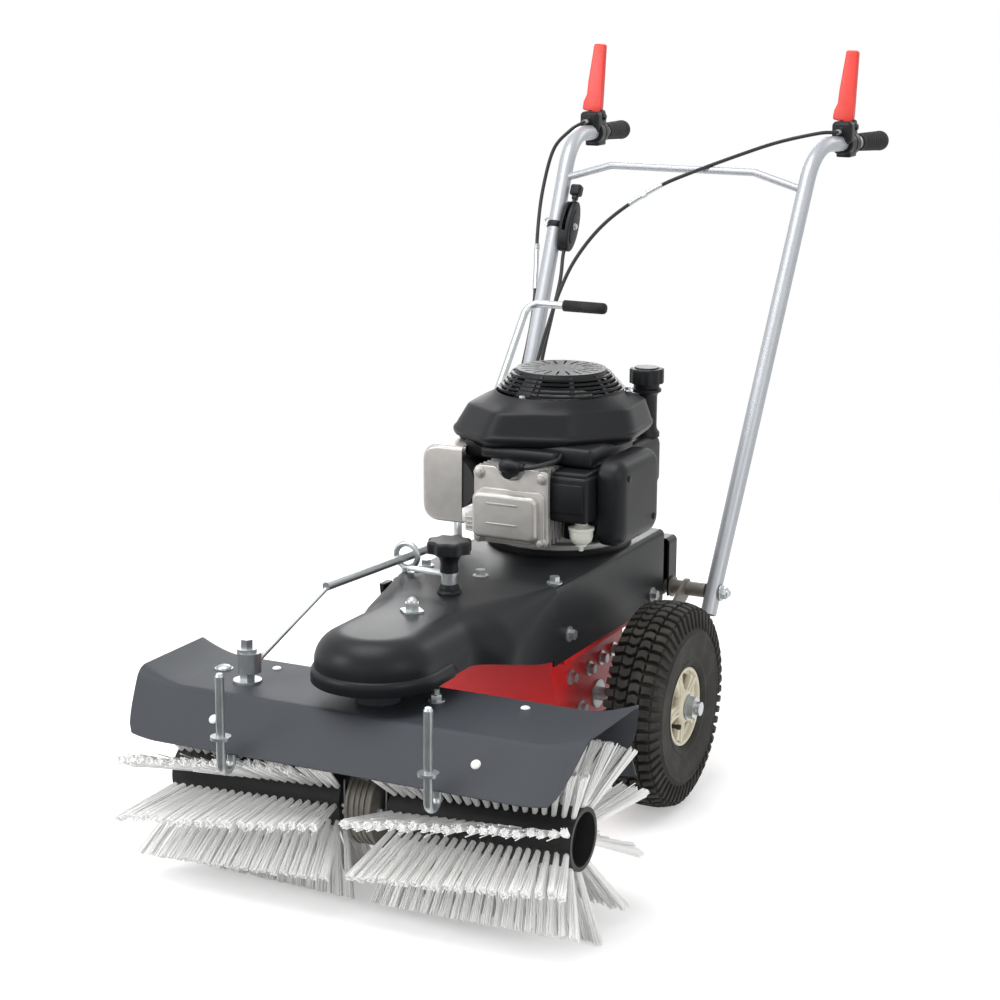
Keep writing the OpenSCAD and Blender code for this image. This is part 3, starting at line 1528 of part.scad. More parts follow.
// Hand levers: flat paddles that fold down over the grips
lever_hub_r = 9;
hub_play = 2;
lever_half = 8;
lever_low_w = 34;
lever_tip_w = 20;
lever_t = 8;
lever_lean = 5.5;
lever_rise = 16;
lever_shift = 5;
module hand_lever(side) {
  tip = lever_len - lever_tip_w / 2;
  low = lever_low_w / 2;
  foot = lever_rise + lever_t / 2;
  shift = side * lever_shift;
  color(lever_red) from_axle() on_side(side) translate(pivot) rotate([-lever_lean, 0, 0]) difference() {
    union() {
      to_x() cylinder(r = lever_hub_r, h = 2 * lever_half, center = true);
      translate([-lever_half, -lever_t / 2, 0]) cube([2 * lever_half, lever_t, lever_rise + lever_t]);
      translate([0, lever_t / 2, 0]) towards_front(lever_t) {
        polygon([
          [-low - shift, foot], [low - shift, foot], [lever_tip_w / 2, tip], [-lever_tip_w / 2, tip]
        ]);
        translate([0, tip]) circle(lever_tip_w / 2);
      }
    }
    to_x() cylinder(r = lever_pin_r + run, h = 2 * lever_half + over, center = true);
  }
}
module lever_right() { hand_lever(1); }
module lever_left() { hand_lever(-1); }

// Throttle on the inner side of the left tube
throttle_z = 772;
throttle_w = 36;
throttle_len = 88;
throttle_t = 18;
throttle_slot = 6;
throttle_pin_r = 3;
throttle_knob_r = 10;
throttle_reach = 62;
band_h = 16;
band_t = 2.5;
throttle_hub_r = 10;
tube_lean = atan2(bend_reach - foot_reach, bend_z - foot_z);
module throttle_frame() {
  p = on_tube(throttle_z);
  from_axle() translate([band_t + tube_r - p.x, p.y, p.z]) rotate([-tube_lean, 0, 0]) children();
}
module throttle_box() {
  p = on_tube(throttle_z);
  color(black) {
    throttle_frame() {
      difference() {
        translate([throttle_t / 2 + gap, 0, 0]) along_x(throttle_t) {
          square([throttle_w, throttle_len - throttle_w], center = true);
          for (s = [-1, 1]) {
            translate([0, s * (throttle_len - throttle_w) / 2]) circle(throttle_w / 2);
          }
        }
        translate([throttle_t / 2 + gap, 0, 0]) to_x()
          cylinder(r = throttle_hub_r + gap, h = throttle_slot, center = true);
        translate([throttle_t / 2 + gap - throttle_slot / 2, -throttle_w, 0])
          cube([throttle_slot, 2 * throttle_w, throttle_len]);
      }
      translate([throttle_t / 2 + gap, 0, 0]) to_x()
        cylinder(r = throttle_pin_r, h = throttle_t - over, center = true);
    }
    from_axle() on_side(-1) difference() {
      straight(on_tube(throttle_z - band_h / 2), on_tube(throttle_z + band_h / 2), tube_r + band_t);
      straight(on_tube(throttle_z - band_h), on_tube(throttle_z + band_h), tube_r + slip);
    }
  }
}
module throttle_lever() {
  color(black) throttle_frame() translate([throttle_t / 2 + gap, 0, 0]) {
    to_x() difference() {
      cylinder(r = throttle_hub_r, h = throttle_slot - 2 * gap, center = true);
      cylinder(r = throttle_pin_r + run, h = throttle_slot, center = true);
    }
    translate([gap - throttle_slot / 2, -throttle_slot / 2, throttle_hub_r - over / 2])
      cube([throttle_slot - 2 * gap, throttle_slot, throttle_reach - throttle_hub_r]);
    lift(throttle_reach) sphere(throttle_knob_r);
  }
}

// Cables: from the lever clamps and the throttle box down to the frame
cable_r = 3;
cable_steps = 4;
// The upper points follow the lever clamps, the cross bar and the throttle box
bar_place = [0, on_tube(bar_joint_z).y, bar_joint_z];
left_pivot = [-pivot.x, pivot.y, pivot.z];
box_place = [-on_tube(throttle_z).x, on_tube(throttle_z).y, throttle_z];
drive_points = concat(
  [for (p = [
    [0, -41.9, -5.5], [-3.5, -55, -6.2], [-22.5, -68, -8.2], [-86.5, -86, -16.2]
  ]) pivot + p],
  [for (p = [
    [87, 30.7, 53], [21, -24.3, 21], [-22, -44.3, -7], [-71, -62.3, -34], [-108, -82.3, -69]
  ]) bar_place + p],
  [
    [-138, 412, 734], [-154, 392, 690], [-162, 362, 630], [-164, 318, 560], [-160, 278, 480],
    [-152, 258, 400], [-138, 254, 340], [-118, 253, 312], [-104, 250, 302], [-99, 238.4, 299]
  ]
);
clutch_points = concat(
  [for (p = [
    [0, -41.9, -5.5], [-3.5, -56, -8.2], [-17.5, -72, -20.2], [-39.5, -88, -51.2]
  ]) left_pivot + p],
  [for (p = [
    [-62.6, 82.8, 48], [-54.6, 47.8, -15]
  ]) box_place + p],
  [
    [-246, 490, 695], [-232, 452, 635], [-222, 402, 570], [-217, 350, 500], [-212, 296, 420],
    [-200, 244, 365], [-172, 226, 335], [-144, 225, 316], [-128, 226, 312], [-117.4, 226, 312]
  ]
);
throttle_points = concat(
  [for (p = [[24.4, -21.6, -42], [31.4, -47.2, -82]]) box_place + p],
  [
    [-173, 400, 640], [-172, 362, 575], [-166, 318, 500], [-150, 276, 440], [-120, 250, 408],
    [-84, 232, 398], [-54, 207, 398], [-34.9, 174.7, 398], [-30.1, 158.9, 398]
  ]
);
module drive_cable() {
  color(rubber) from_axle() cord(drive_points, cable_r, cable_steps);
}
module clutch_cables() {
  color(rubber) from_axle() {
    cord(clutch_points, cable_r, cable_steps);
    cord(throttle_points, cable_r, cable_steps);
  }
}

tyre_right();
tyre_left();
rim_right();
rim_left();
axle_right();
axle_left();
chassis_box();
rear_cover();
bearing_arm();
transmission_case();
axle_bushes();
handle_carrier();
belt_cover();
cover_nut();
knob_base();
star_knob();
frame_bolts();
rod_guide();
hood();
gear_case();
hook_pins();
swivel_lug();
hood_screws();
input_shaft();
brush_pulley();
brush_shaft();
core_right();
core_left();
bristles_right();
bristles_left();
swivel_rod();
rod_grip();
crankcase();
valve_cover();
engine_shroud();
starter_cover();
fuel_tank();
fuel_cap();
muffler();
muffler_shield();
air_cleaner();
intake_elbow();
carburettor();
plug_cap();
plug_lead();
crankshaft();
flywheel();
engine_pulley();
drive_belt();
handle_right();
handle_left();
cross_bar();
grips();
lever_clamps();
lever_right();
lever_left();
throttle_box();
throttle_lever();
drive_cable();
clutch_cables();
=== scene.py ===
import random
from math import atan2, ceil, cos, pi, radians, sin, sqrt, tan, tanh, tau

import bmesh
import bpy
from bpy.props import FloatProperty, FloatVectorProperty, IntProperty, PointerProperty
from mathutils import Matrix, Vector


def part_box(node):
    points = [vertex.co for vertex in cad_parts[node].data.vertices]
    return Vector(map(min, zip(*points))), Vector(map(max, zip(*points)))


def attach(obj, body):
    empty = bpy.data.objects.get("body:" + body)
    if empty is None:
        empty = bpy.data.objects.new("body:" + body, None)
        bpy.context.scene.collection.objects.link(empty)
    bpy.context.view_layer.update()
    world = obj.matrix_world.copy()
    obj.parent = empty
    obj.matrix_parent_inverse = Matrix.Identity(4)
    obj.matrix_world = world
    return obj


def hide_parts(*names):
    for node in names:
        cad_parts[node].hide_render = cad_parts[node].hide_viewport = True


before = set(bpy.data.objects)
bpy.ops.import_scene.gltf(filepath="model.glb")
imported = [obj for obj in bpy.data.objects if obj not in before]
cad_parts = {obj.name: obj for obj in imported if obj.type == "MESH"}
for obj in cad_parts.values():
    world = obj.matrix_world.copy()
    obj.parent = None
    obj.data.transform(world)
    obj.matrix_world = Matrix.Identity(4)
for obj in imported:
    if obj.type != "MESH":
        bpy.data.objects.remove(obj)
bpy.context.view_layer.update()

bl_info = {
    "name": "Power Brush Sweeper",
    "version": (1, 0, 0),
    "blender": (4, 5, 0),
    "location": "3D View > Sidebar > Sweeper",
    "description": "Dresses the solids of a walk-behind power brush sweeper",
    "category": "Object",
}


def middle(node):
    low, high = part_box(node)
    return (low + high) / 2


# Shapes are drawn in millimetres from the point on the floor under the wheel axle.
AXLE_Y = middle("axle_right").y
TO_FRAME = Matrix.Translation((0, AXLE_Y, 0)) @ Matrix.Scale(0.001, 4)
MM = 1000.0
SIDES = ((1, "right"), (-1, "left"))
# Each finish slot: what it is, its colour and the solids that wear it.
SLOTS = {
    "tyre": ("Tyre rubber", (0.024, 0.023, 0.020), "tyre_right tyre_left"),
    "rim": ("Cream rim plastic", (0.72, 0.67, 0.53), "rim_right rim_left"),
    "zinc": (
        "Zinc plated hardware", (0.49, 0.515, 0.525),
        "axle_right axle_left axle_bushes cover_nut knob_base frame_bolts rod_guide hook_pins swivel_lug "
        "input_shaft brush_shaft swivel_rod crankshaft",
    ),
    "frame_black": ("Black powder coat", (0.0095, 0.0105, 0.0125), "chassis_box rear_cover belt_cover"),
    "case_red": ("Red enamel", (0.78, 0.008, 0.012), "transmission_case"),
    "hood_grey": ("Dark grey powder coat", (0.034, 0.038, 0.046), "hood bearing_arm"),
    "gear_grey": (
        "Grey castings", (0.20, 0.188, 0.165), "gear_case brush_pulley engine_pulley handle_carrier",
    ),
    "engine_cast": ("Cast aluminium", (0.45, 0.45, 0.44), "crankcase flywheel"),
    "engine_silver": ("Warm silver coat", (0.47, 0.455, 0.435), "valve_cover muffler_shield"),
    "exhaust_dark": ("Heat-proof coat", (0.05, 0.05, 0.05), "muffler"),
    "engine_black": (
        "Black moulded plastic", (0.0085, 0.009, 0.0105),
        "star_knob engine_shroud starter_cover fuel_tank fuel_cap air_cleaner intake_elbow plug_cap "
        "lever_clamps throttle_box throttle_lever",
    ),
    "bowl_white": ("Pale moulding", (0.68, 0.70, 0.62), "carburettor"),
    "brush_core": ("Black core plastic", (0.016, 0.016, 0.017), "core_right core_left"),
    "bristle": ("White nylon", (0.95, 0.95, 0.935), "bristles_right bristles_left"),
    "tube_silver": ("Silver powder coat", (0.40, 0.415, 0.44), "handle_right handle_left cross_bar"),
    "grip": ("Soft black rubber", (0.012, 0.0125, 0.013), "grips rod_grip"),
    "lever_red": ("Coral red plastic", (0.64, 0.034, 0.022), "lever_right lever_left"),
    "cable": ("Black cable sheath", (0.020, 0.020, 0.021), "drive_belt plug_lead drive_cable clutch_cables"),
    "screw_white": ("White screw caps", (0.85, 0.85, 0.84), "hood_screws"),
}
FINISHES = {}
WHITE = (1, 1, 1, 1)


# Sizes and colours


class SweeperSizes(bpy.types.PropertyGroup):
    """Sizes of the dressed pieces"""

    strand_count: IntProperty(
        name="Strands in a tuft", description="Bristle strands in each tuft", default=30, min=6, max=40
    )
    strand_width: FloatProperty(
        name="Strand width", description="Thickness of one bristle strand", default=0.0019, unit="LENGTH"
    )
    tuft_rows: IntProperty(
        name="Tuft rows", description="Rows of tufts round the brush", default=10, min=4, max=16
    )
    tufts: IntProperty(
        name="Tufts in a row", description="Tufts in each row of one brush half", default=20, min=8, max=30
    )
    lug_count: IntProperty(
        name="Tread lugs", description="Tread lugs round each tyre", default=56, min=20, max=60
    )
    lug_depth: FloatProperty(
        name="Tread depth", description="Height of the tread lugs", default=0.007, unit="LENGTH"
    )
    sheet: FloatProperty(
        name="Sheet thickness", description="Thickness of hood and cover", default=0.003, unit="LENGTH"
    )


class SweeperColours(bpy.types.PropertyGroup):
    """Colours of the finishes"""

    __annotations__ = {
        slot: FloatVectorProperty(
            name=slot.replace("_", " ").capitalize(), description=text, subtype="COLOR", default=colour
        )
        for slot, (text, colour, _) in SLOTS.items()
    }


class SweeperView(bpy.types.PropertyGroup):
    """Where the camera stands"""

    place: FloatVectorProperty(
        name="Place", description="Camera place from the axle", subtype="TRANSLATION", unit="LENGTH",
        default=(1.4259, -3.0460, 1.22115),
    )
    turn: FloatProperty(
        name="Turn", description="Turn round the upright", subtype="ANGLE", default=radians(26.146)
    )
    dip: FloatProperty(
        name="Dip", description="How far the camera looks down", subtype="ANGLE", default=radians(13.225)
    )
    roll: FloatProperty(
        name="Roll", description="Lean of the camera", subtype="ANGLE", default=radians(0.366)
    )
    lens: FloatProperty(name="Lens", description="Focal length", subtype="DISTANCE_CAMERA", default=85.197)


# Materials


class Field:
    """A value in a shader: sums and products of fields add their Math nodes."""

    def __init__(self, paint, socket):
        self.paint = paint
        self.socket = socket

    def math(self, operation, first, second):
        return self.paint.node("ShaderNodeMath", {"operation": operation}, {0: first, 1: second})

    def __add__(self, other):
        return self.math("ADD", self, other)

    def __radd__(self, other):
        return self.math("ADD", other, self)

    def __sub__(self, other):
        return self.math("SUBTRACT", self, other)

    def __rsub__(self, other):
        return self.math("SUBTRACT", other, self)

    def __mul__(self, other):
        return self.math("MULTIPLY", self, other)

    def __rmul__(self, other):
        return self.math("MULTIPLY", other, self)


class Paint:
    """The nodes of one material, or of the world."""

    def __init__(self, owner):
        owner.use_nodes = True
        self.owner = owner
        self.tree = owner.node_tree

    @classmethod
    def material(cls, name):
        """A new material with a principled shader, painted in the object's own coordinates."""
        paint = cls(bpy.data.materials.new(name))
        paint.shader = paint.tree.nodes["Principled BSDF"]
        paint.place = paint.node("ShaderNodeTexCoord", out="Object")
        return paint

    def node(self, kind, settings=None, inputs=None, out=0):
        """Adds a node: its settings come first, then the values or links of its sockets."""
        made = self.tree.nodes.new(kind)
        for key, value in (settings or {}).items():
            setattr(made, key, value)
        for key, value in (inputs or {}).items():
            self.feed(made.inputs[key], value)
        return Field(self, made.outputs[out])

    def feed(self, socket, value):
        if isinstance(value, Field):
            self.tree.links.new(value.socket, socket)
        else:
            socket.default_value = value

    def noise(self, scale, detail):
        return self.node("ShaderNodeTexNoise", None, {"Vector": self.place, "Scale": scale, "Detail": detail})

    def step(self, value, low, high):
        """Rises from 0 to 1 while the value goes from low to high."""
        return self.node(
            "ShaderNodeMapRange", {"interpolation_type": "SMOOTHSTEP"},
            {"Value": value, "From Min": low, "From Max": high},
        )

    def blend(self, share, first, second):
        colours = [c if isinstance(c, Field) else (*c, 1.0) for c in (first, second)]
        return self.node(
            "ShaderNodeMix", {"data_type": "RGBA"}, {0: share, 6: colours[0], 7: colours[1]}, out=2
        )

    def edges(self, radius):
        """A mask of the edges: where a rounded normal leaves the true one."""
        soft = self.node("ShaderNodeBevel", {"samples": 4}, {"Radius": radius})
        true = self.node("ShaderNodeNewGeometry", out="Normal")
        dot = {"operation": "DOT_PRODUCT"}
        bend = self.node("ShaderNodeVectorMath", dot, {0: soft, 1: true}, out="Value")
        return self.step(bend, 0.97, 0.80)

    def bump(self, height, depth):
        return self.node("ShaderNodeBump", None, {"Height": height, "Distance": depth, "Strength": 1.0})

    def finish(self, **inputs):
        for key, value in inputs.items():
            if isinstance(value, tuple) and len(value) == 3:
                value = (*value, 1.0)
            self.feed(self.shader.inputs[key.replace("_", " ")], value)
        return self.owner

    def surface(self, shader):
        """Sends a shader to the output."""
        output = next(node for node in self.tree.nodes if node.type.startswith("OUTPUT"))
        self.feed(output.inputs["Surface"], shader)

    def background_rays(self):
        """1 for rays that show the background: straight, mirrored or through glass."""
        kinds = ("Camera", "Glossy", "Transmission")
        rays = [self.node("ShaderNodeLightPath", out=f"Is {kind} Ray") for kind in kinds]
        return rays[0].math("MAXIMUM", rays[0].math("MAXIMUM", rays[0], rays[1]), rays[2])


def shade(colour, factor):
    return tuple(min(channel * factor, 1.0) for channel in colour)


def rubber_finish(paint, colour):
    cloud = paint.noise(30, 4)
    grain = paint.noise(1400, 3)
    dust = paint.step(cloud, 0.45, 0.75)
    return paint.finish(
        Base_Color=paint.blend(dust, colour, tuple(c * 1.7 + 0.006 for c in colour)),
        Roughness=0.62 + grain * 0.25,
        Specular_IOR_Level=0.25,
        Normal=paint.bump(grain, 0.0004),
    )


def plastic_finish(paint, colour, gloss=0.36, grain_size=1800, depth=0.00018, shine=0.5):
    cloud = paint.noise(14, 3)
    grain = paint.noise(grain_size, 2)
    rubbed = paint.edges(0.0015) * paint.step(paint.noise(90, 4), 0.45, 0.65)
    base = paint.blend(cloud, shade(colour, 0.88), shade(colour, 1.15))
    return paint.finish(
        Base_Color=paint.blend(rubbed * 0.35, base, tuple(c * 1.4 + 0.01 for c in colour)),
        Roughness=gloss - 0.06 + cloud * 0.12 - rubbed * 0.05,
        Specular_IOR_Level=shine,
        Normal=paint.bump(grain, depth),
    )


def coat_finish(
    paint, colour, gloss=0.42, grain_size=1100, depth=0.00010, shine=0.5, metal=0.0, wear=0.002
):
    cloud = paint.noise(9, 3)
    peel = paint.noise(grain_size, 2)
    worn = paint.edges(wear) * paint.step(paint.noise(160, 4), 0.42, 0.62)
    base = paint.blend(cloud, shade(colour, 0.92), shade(colour, 1.1))
    return paint.finish(
        Base_Color=paint.blend(worn * 0.5, base, tuple(c * 1.5 + 0.02 for c in colour)),
        Roughness=gloss - 0.05 + cloud * 0.1 + worn * 0.08,
        Metallic=metal,
        Specular_IOR_Level=shine,
        Normal=paint.bump(peel, depth),
    )


def enamel_finish(paint, colour):
    cloud = paint.noise(12, 3)
    peel = paint.noise(260, 2)
    worn = paint.edges(0.002) * paint.step(paint.noise(220, 4), 0.52, 0.66)
    base = paint.blend(cloud, shade(colour, 0.86), shade(colour, 1.12))
    return paint.finish(
        Base_Color=paint.blend(worn * 0.6, base, (0.20, 0.09, 0.08)),
        Roughness=0.34 + cloud * 0.12,
        Specular_IOR_Level=0.3,
        Coat_Weight=0.12,
        Coat_Roughness=0.1,
        Normal=paint.bump(peel, 0.0004),
    )


def metal_finish(paint, colour, metal=0.9, low=0.24, high=0.46, grain_size=420, depth=0.00012):
    cloud = paint.noise(60, 4)
    grain = paint.noise(grain_size, 3)
    return paint.finish(
        Base_Color=paint.blend(cloud, shade(colour, 0.82), shade(colour, 1.12)),
        Metallic=metal,
        Roughness=low + (high - low) * grain,
        Normal=paint.bump(grain, depth),
    )


def bristle_finish(paint, colour):
    streak = paint.noise(420, 2)
    cloud = paint.noise(26, 3)
    pale = paint.blend(streak, shade(colour, 0.9), shade(colour, 1.06))
    return paint.finish(
        Base_Color=paint.blend(paint.step(cloud, 0.45, 0.8) * 0.2, pale, shade(colour, 0.8)),
        Roughness=0.36 + streak * 0.2,
        Specular_IOR_Level=0.4,
    )


def make_finishes(colours):
    """One material for each slot."""
    recipes = {
        "tyre": (rubber_finish, {}),
        "rim": (plastic_finish, {"gloss": 0.5, "depth": 0.0003}),
        "zinc": (metal_finish, {"grain_size": 240, "depth": 0.00003, "low": 0.28}),
        "frame_black": (coat_finish, {"gloss": 0.38, "shine": 0.20}),
        "case_red": (enamel_finish, {}),
        "hood_grey": (coat_finish, {"gloss": 0.52, "depth": 0.0003, "shine": 0.3}),
        "gear_grey": (metal_finish, {"metal": 0.5, "low": 0.42, "high": 0.6, "depth": 0.0004}),
        "engine_cast": (metal_finish, {"metal": 0.75, "low": 0.42, "high": 0.62, "depth": 0.0006}),
        "engine_silver": (metal_finish, {"metal": 0.6, "low": 0.34, "high": 0.46, "grain_size": 900}),
        "exhaust_dark": (metal_finish, {"metal": 0.6, "low": 0.42, "high": 0.62}),
        "engine_black": (plastic_finish, {"gloss": 0.38, "shine": 0.22}),
        "bowl_white": (plastic_finish, {"gloss": 0.4}),
        "brush_core": (plastic_finish, {"gloss": 0.5, "shine": 0.3}),
        "bristle": (bristle_finish, {}),
        "tube_silver": (
            coat_finish, {"metal": 0.45, "gloss": 0.38, "grain_size": 220, "depth": 0.00003, "wear": 0.0005}
        ),
        "grip": (rubber_finish, {}),
        "lever_red": (plastic_finish, {"gloss": 0.36, "grain_size": 700, "depth": 0.0001}),
        "cable": (plastic_finish, {"gloss": 0.4, "shine": 0.3}),
        "screw_white": (plastic_finish, {"gloss": 0.35}),
    }
    for slot, (recipe, extra) in recipes.items():
        FINISHES[slot] = recipe(Paint.material(slot), tuple(getattr(colours, slot)), **extra)


# Shapes


def shift(x, y, z):
    return Matrix.Translation((x, y, z))


def spin(angle, axis):
    return Matrix.Rotation(angle, 4, axis)


def closed(bm):
    """Turns the faces of a closed shape outwards."""
    bmesh.ops.recalc_face_normals(bm, faces=bm.faces[:])


def grow(bm, rows, ring=True):
    """Carries a first row of points on through the next rows by extruding its edges."""
    verts = [bm.verts.new(point) for point in rows[0]]
    count = len(verts)
    edges = [bm.edges.new((verts[i], verts[(i + 1) % count])) for i in range(count if ring else count - 1)]
    first = verts
    for row in rows[1:]:
        made = bmesh.ops.extrude_edge_only(bm, edges=edges)["geom"]
        fresh = [item for item in made if isinstance(item, bmesh.types.BMVert)]
        edges = [item for item in made if isinstance(item, bmesh.types.BMEdge)]
        spot = {tuple(vert.co): vert for vert in fresh}
        verts = [spot[tuple(vert.co)] for vert in verts]
        ends = set(verts)
        edges = [edge for edge in edges if edge.verts[0] in ends and edge.verts[1] in ends]
        for vert, point in zip(verts, row):
            vert.co = point
    return first, verts


def cap(bm, verts):
    bmesh.ops.contextual_create(bm, geom=verts)


def loft(bm, rings):
    """A closed skin over rings of points."""
    for end in grow(bm, rings):
        cap(bm, end)


def thicken(bm, outermost, way, thickness):
    """Makes a sheet of a skin whose outermost face looks the given way."""
    closed(bm)
    if max(bm.faces, key=outermost).normal.dot(Vector(way)) < 0:
        bmesh.ops.reverse_faces(bm, faces=bm.faces[:])
    bmesh.ops.solidify(bm, geom=bm.faces[:], thickness=thickness)


def frontmost(face):
    return -face.calc_center_median().y


def along(a, b):
    """A frame at a whose Z runs to b."""
    way = Vector(b) - Vector(a)
    return Matrix.Translation(a) @ way.to_track_quat("Z", "Y").to_matrix().to_4x4(), way.length


def rod(bm, a, b, r, r2=None, sides=24):
    """A round bar from a to b."""
    place, length = along(a, b)
    place = place @ shift(0, 0, length / 2)
    r2 = r if r2 is None else r2
    bmesh.ops.create_cone(
        bm, cap_ends=True, segments=sides, radius1=r, radius2=r2, depth=length, matrix=place
    )


def turned(bm, profile, place=Matrix(), steps=48):
    """A turned shape: radius and height pairs spun round the Z of its place."""
    verts = [bm.verts.new((r, 0, z)) for r, z in profile]
    edges = [bm.edges.new(pair) for pair in zip(verts, verts[1:])]
    bmesh.ops.spin(
        bm, geom=verts + edges, cent=(0, 0, 0), axis=(0, 0, 1), angle=tau, steps=steps, use_merge=True
    )
    shape = {vert for edge in edges for vert in edge.verts}
    seen = set()
    while shape:
        vert = shape.pop()
        if vert not in seen:
            seen.add(vert)
            shape.update(edge.other_vert(vert) for edge in vert.link_edges)
    bmesh.ops.remove_doubles(bm, verts=list(seen), dist=0.0005)
    bmesh.ops.transform(bm, matrix=place, verts=[vert for vert in seen if vert.is_valid])


def round_off(bm, edges, offset, segments):
    """Rounds edges and gives what that made."""
    return bmesh.ops.bevel(
        bm, geom=edges, offset=offset, offset_type="OFFSET", segments=segments, profile=0.5, affect="EDGES",
        material=-1,
    )


def block(bm, low, high, edge=0.0, segments=3, place=Matrix()):
    """A box between two corners with its edges rounded."""
    low, high = Vector(low), Vector(high)
    size = high - low
    centre = Matrix.Translation((low + high) / 2) @ Matrix.Diagonal((*size, 1.0))
    verts = bmesh.ops.create_cube(bm, size=1.0, matrix=centre)["verts"]
    if edge:
        made = round_off(bm, list({e for v in verts for e in v.link_edges}), edge, segments)
        verts = list({v for f in made["faces"] for v in f.verts} | {v for v in verts if v.is_valid})
    bmesh.ops.transform(bm, matrix=place, verts=verts)


def blocks(bm, rows, place=Matrix()):
    """Blocks in one place, given by their corners, edge radius and edge segments."""
    for row in rows:
        block(bm, *row, place)


def plate(bm, outline, place, depth, edge=0.0, segments=2, draft=1.0):
    """A flat outline given its depth along the Z of its place, with its far rim rounded."""
    verts = [bm.verts.new((x, y, 0)) for x, y in outline]
    base = bm.faces.new(verts)
    made = bmesh.ops.extrude_face_region(bm, geom=[base])["geom"]
    far = [item for item in made if isinstance(item, bmesh.types.BMVert)]
    face = next(item for item in made if isinstance(item, bmesh.types.BMFace))
    middle_point = sum((vert.co for vert in far), Vector()) / len(far)
    for vert in far:
        vert.co = middle_point + (vert.co - middle_point) * draft + Vector((0, 0, depth))
    group = set(verts) | set(far)
    if edge:
        made = round_off(bm, list(face.edges), edge, segments)
        group = {vert for vert in group if vert.is_valid} | set(made["verts"])
    faces = list({f for vert in group for f in vert.link_faces})
    bmesh.ops.recalc_face_normals(bm, faces=faces)
    bmesh.ops.transform(bm, matrix=place, verts=list(group))
    return list(group)


def rounded_box_line(width, height, radius, steps=5):
    """The outline of a plate with round corners, about its middle."""
    line = []
    for quarter in range(4):
        centre = Vector((
            (width / 2 - radius) * (1 if quarter in (0, 3) else -1),
            (height / 2 - radius) * (1 if quarter < 2 else -1),
        ))
        for step in range(steps + 1):
            a = pi / 2 * (quarter + step / steps)
            line.append(tuple(centre + radius * Vector((cos(a), sin(a)))))
    return line


def circle_line(radius, count, other=None):
    """A circle about the middle, or an ellipse that has another radius along Y."""
    other = radius if other is None else other
    angles = [tau * i / count for i in range(count)]
    return [(radius * cos(a), other * sin(a)) for a in angles]


def lobed_line(reach, count=96):
    """An outline about the middle at the reach that a function gives for each angle."""
    angles = [tau * i / count for i in range(count)]
    return [(reach(a) * cos(a), reach(a) * sin(a)) for a in angles]


def facing(direction, up=(0, 0, 1), at=(0, 0, 0)):
    """A place whose Z points in a direction and whose Y leans towards up."""
    z = Vector(direction).normalized()
    x = Vector(up).cross(z)
    x = x.normalized() if x.length > 1e-6 else Vector((1, 0, 0))
    y = z.cross(x)
    return Matrix.Translation(at) @ Matrix((x, y, z)).transposed().to_4x4()


def dome(bm, place, radius, height, steps=20):
    """A round screw cap."""
    line = circle_line(radius, 24, height)[:7]
    turned(bm, [(0, -0.5), (radius, -0.5)] + line, place, steps)


def hex_head(bm, place, across, height, washer=0.0, washer_h=2.0):
    """A chamfered hexagon head on a washer."""
    if washer:
        line = [(0, 0), (washer, 0), (washer, washer_h - 0.5), (washer - 0.5, washer_h), (0, washer_h)]
        turned(bm, line, place, 28)
    else:
        washer_h = 0.0
    ring = circle_line(across / 2 / cos(pi / 6), 6)
    plate(bm, ring, place @ shift(0, 0, washer_h), height, edge=1.1)


def new_object(bm, name):
    """Turns a finished shape into an object of the scene."""
    mesh = bpy.data.meshes.new(name)
    bm.to_mesh(mesh)
    bm.free()
    made = bpy.data.objects.new(name, mesh)
    bpy.context.scene.collection.objects.link(made)
    return made


def dressed(bm, name, body, slot, *nodes, sharp=38.0):
    """Makes an object of the shape that rides on a body, wears a slot's finish and stands for CAD nodes."""
    bm.transform(TO_FRAME)
    limit = radians(sharp)
    for edge in bm.edges:
        edge.smooth = not (len(edge.link_faces) == 2 and edge.calc_face_angle(0.0) > limit)
    for face in bm.faces:
        face.smooth = True
    piece = new_object(bm, name)
    piece.data.materials.append(FINISHES[slot])
    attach(piece, body)
    if nodes:
        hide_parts(*nodes)


def ease(t):
    t = min(max(t, 0.0), 1.0)
    return t * t * (3 - 2 * t)


def mix(a, b, t):
    return a + (b - a) * t


def smooth_line(points, steps):
    """A smooth line through given points."""
    points = [Vector(p) for p in points]
    line = []
    for i in range(len(points) - 1):
        a, b, c, d = (points[min(max(i + k, 0), len(points) - 1)] for k in (-1, 0, 1, 2))
        for step in range(steps):
            t = step / steps
            line.append((
                2 * b + (c - a) * t
                + (2 * a - 5 * b + 4 * c - d) * t**2
                + (3 * b - a - 3 * c + d) * t**3
            ) / 2)
    return line + [points[-1]]


def repeat(bm, part, places):
    """Adds a copy of a part at each place."""
    pattern = bpy.data.meshes.new("pattern")
    part.to_mesh(pattern)
    part.free()
    for place in places:
        one = pattern.copy()
        one.transform(place)
        bm.from_mesh(one)
        bpy.data.meshes.remove(one)
    bpy.data.meshes.remove(pattern)


def wire(bm, line, radius, sides=10):
    """A round wire along a line, with its ends closed."""
    normal = Vector((0.31, 0.87, 0.38))
    rings = []
    for i, point in enumerate(line):
        way = (line[min(i + 1, len(line) - 1)] - line[max(i - 1, 0)]).normalized()
        normal = (normal - normal.dot(way) * way).normalized()
        other = way.cross(normal)
        rings.append([point + radius * (u * normal + v * other) for u, v in circle_line(1.0, sides)])
    loft(bm, rings)


# Brush

BRUSH_Y, BRUSH_Z, BRUSH_R = -496.0, 130.0, 129.6
CORE_START, CORE_END, FOOT_R, INNER_X = 36.0, 294.0, 38.0, 14.5
TUFT_KINDS = 6
# Turn of the first row in degrees, and how many degrees the rows screw on with each millimetre.
ROW_TURN, ROW_SCREW = 4.0, 0.07
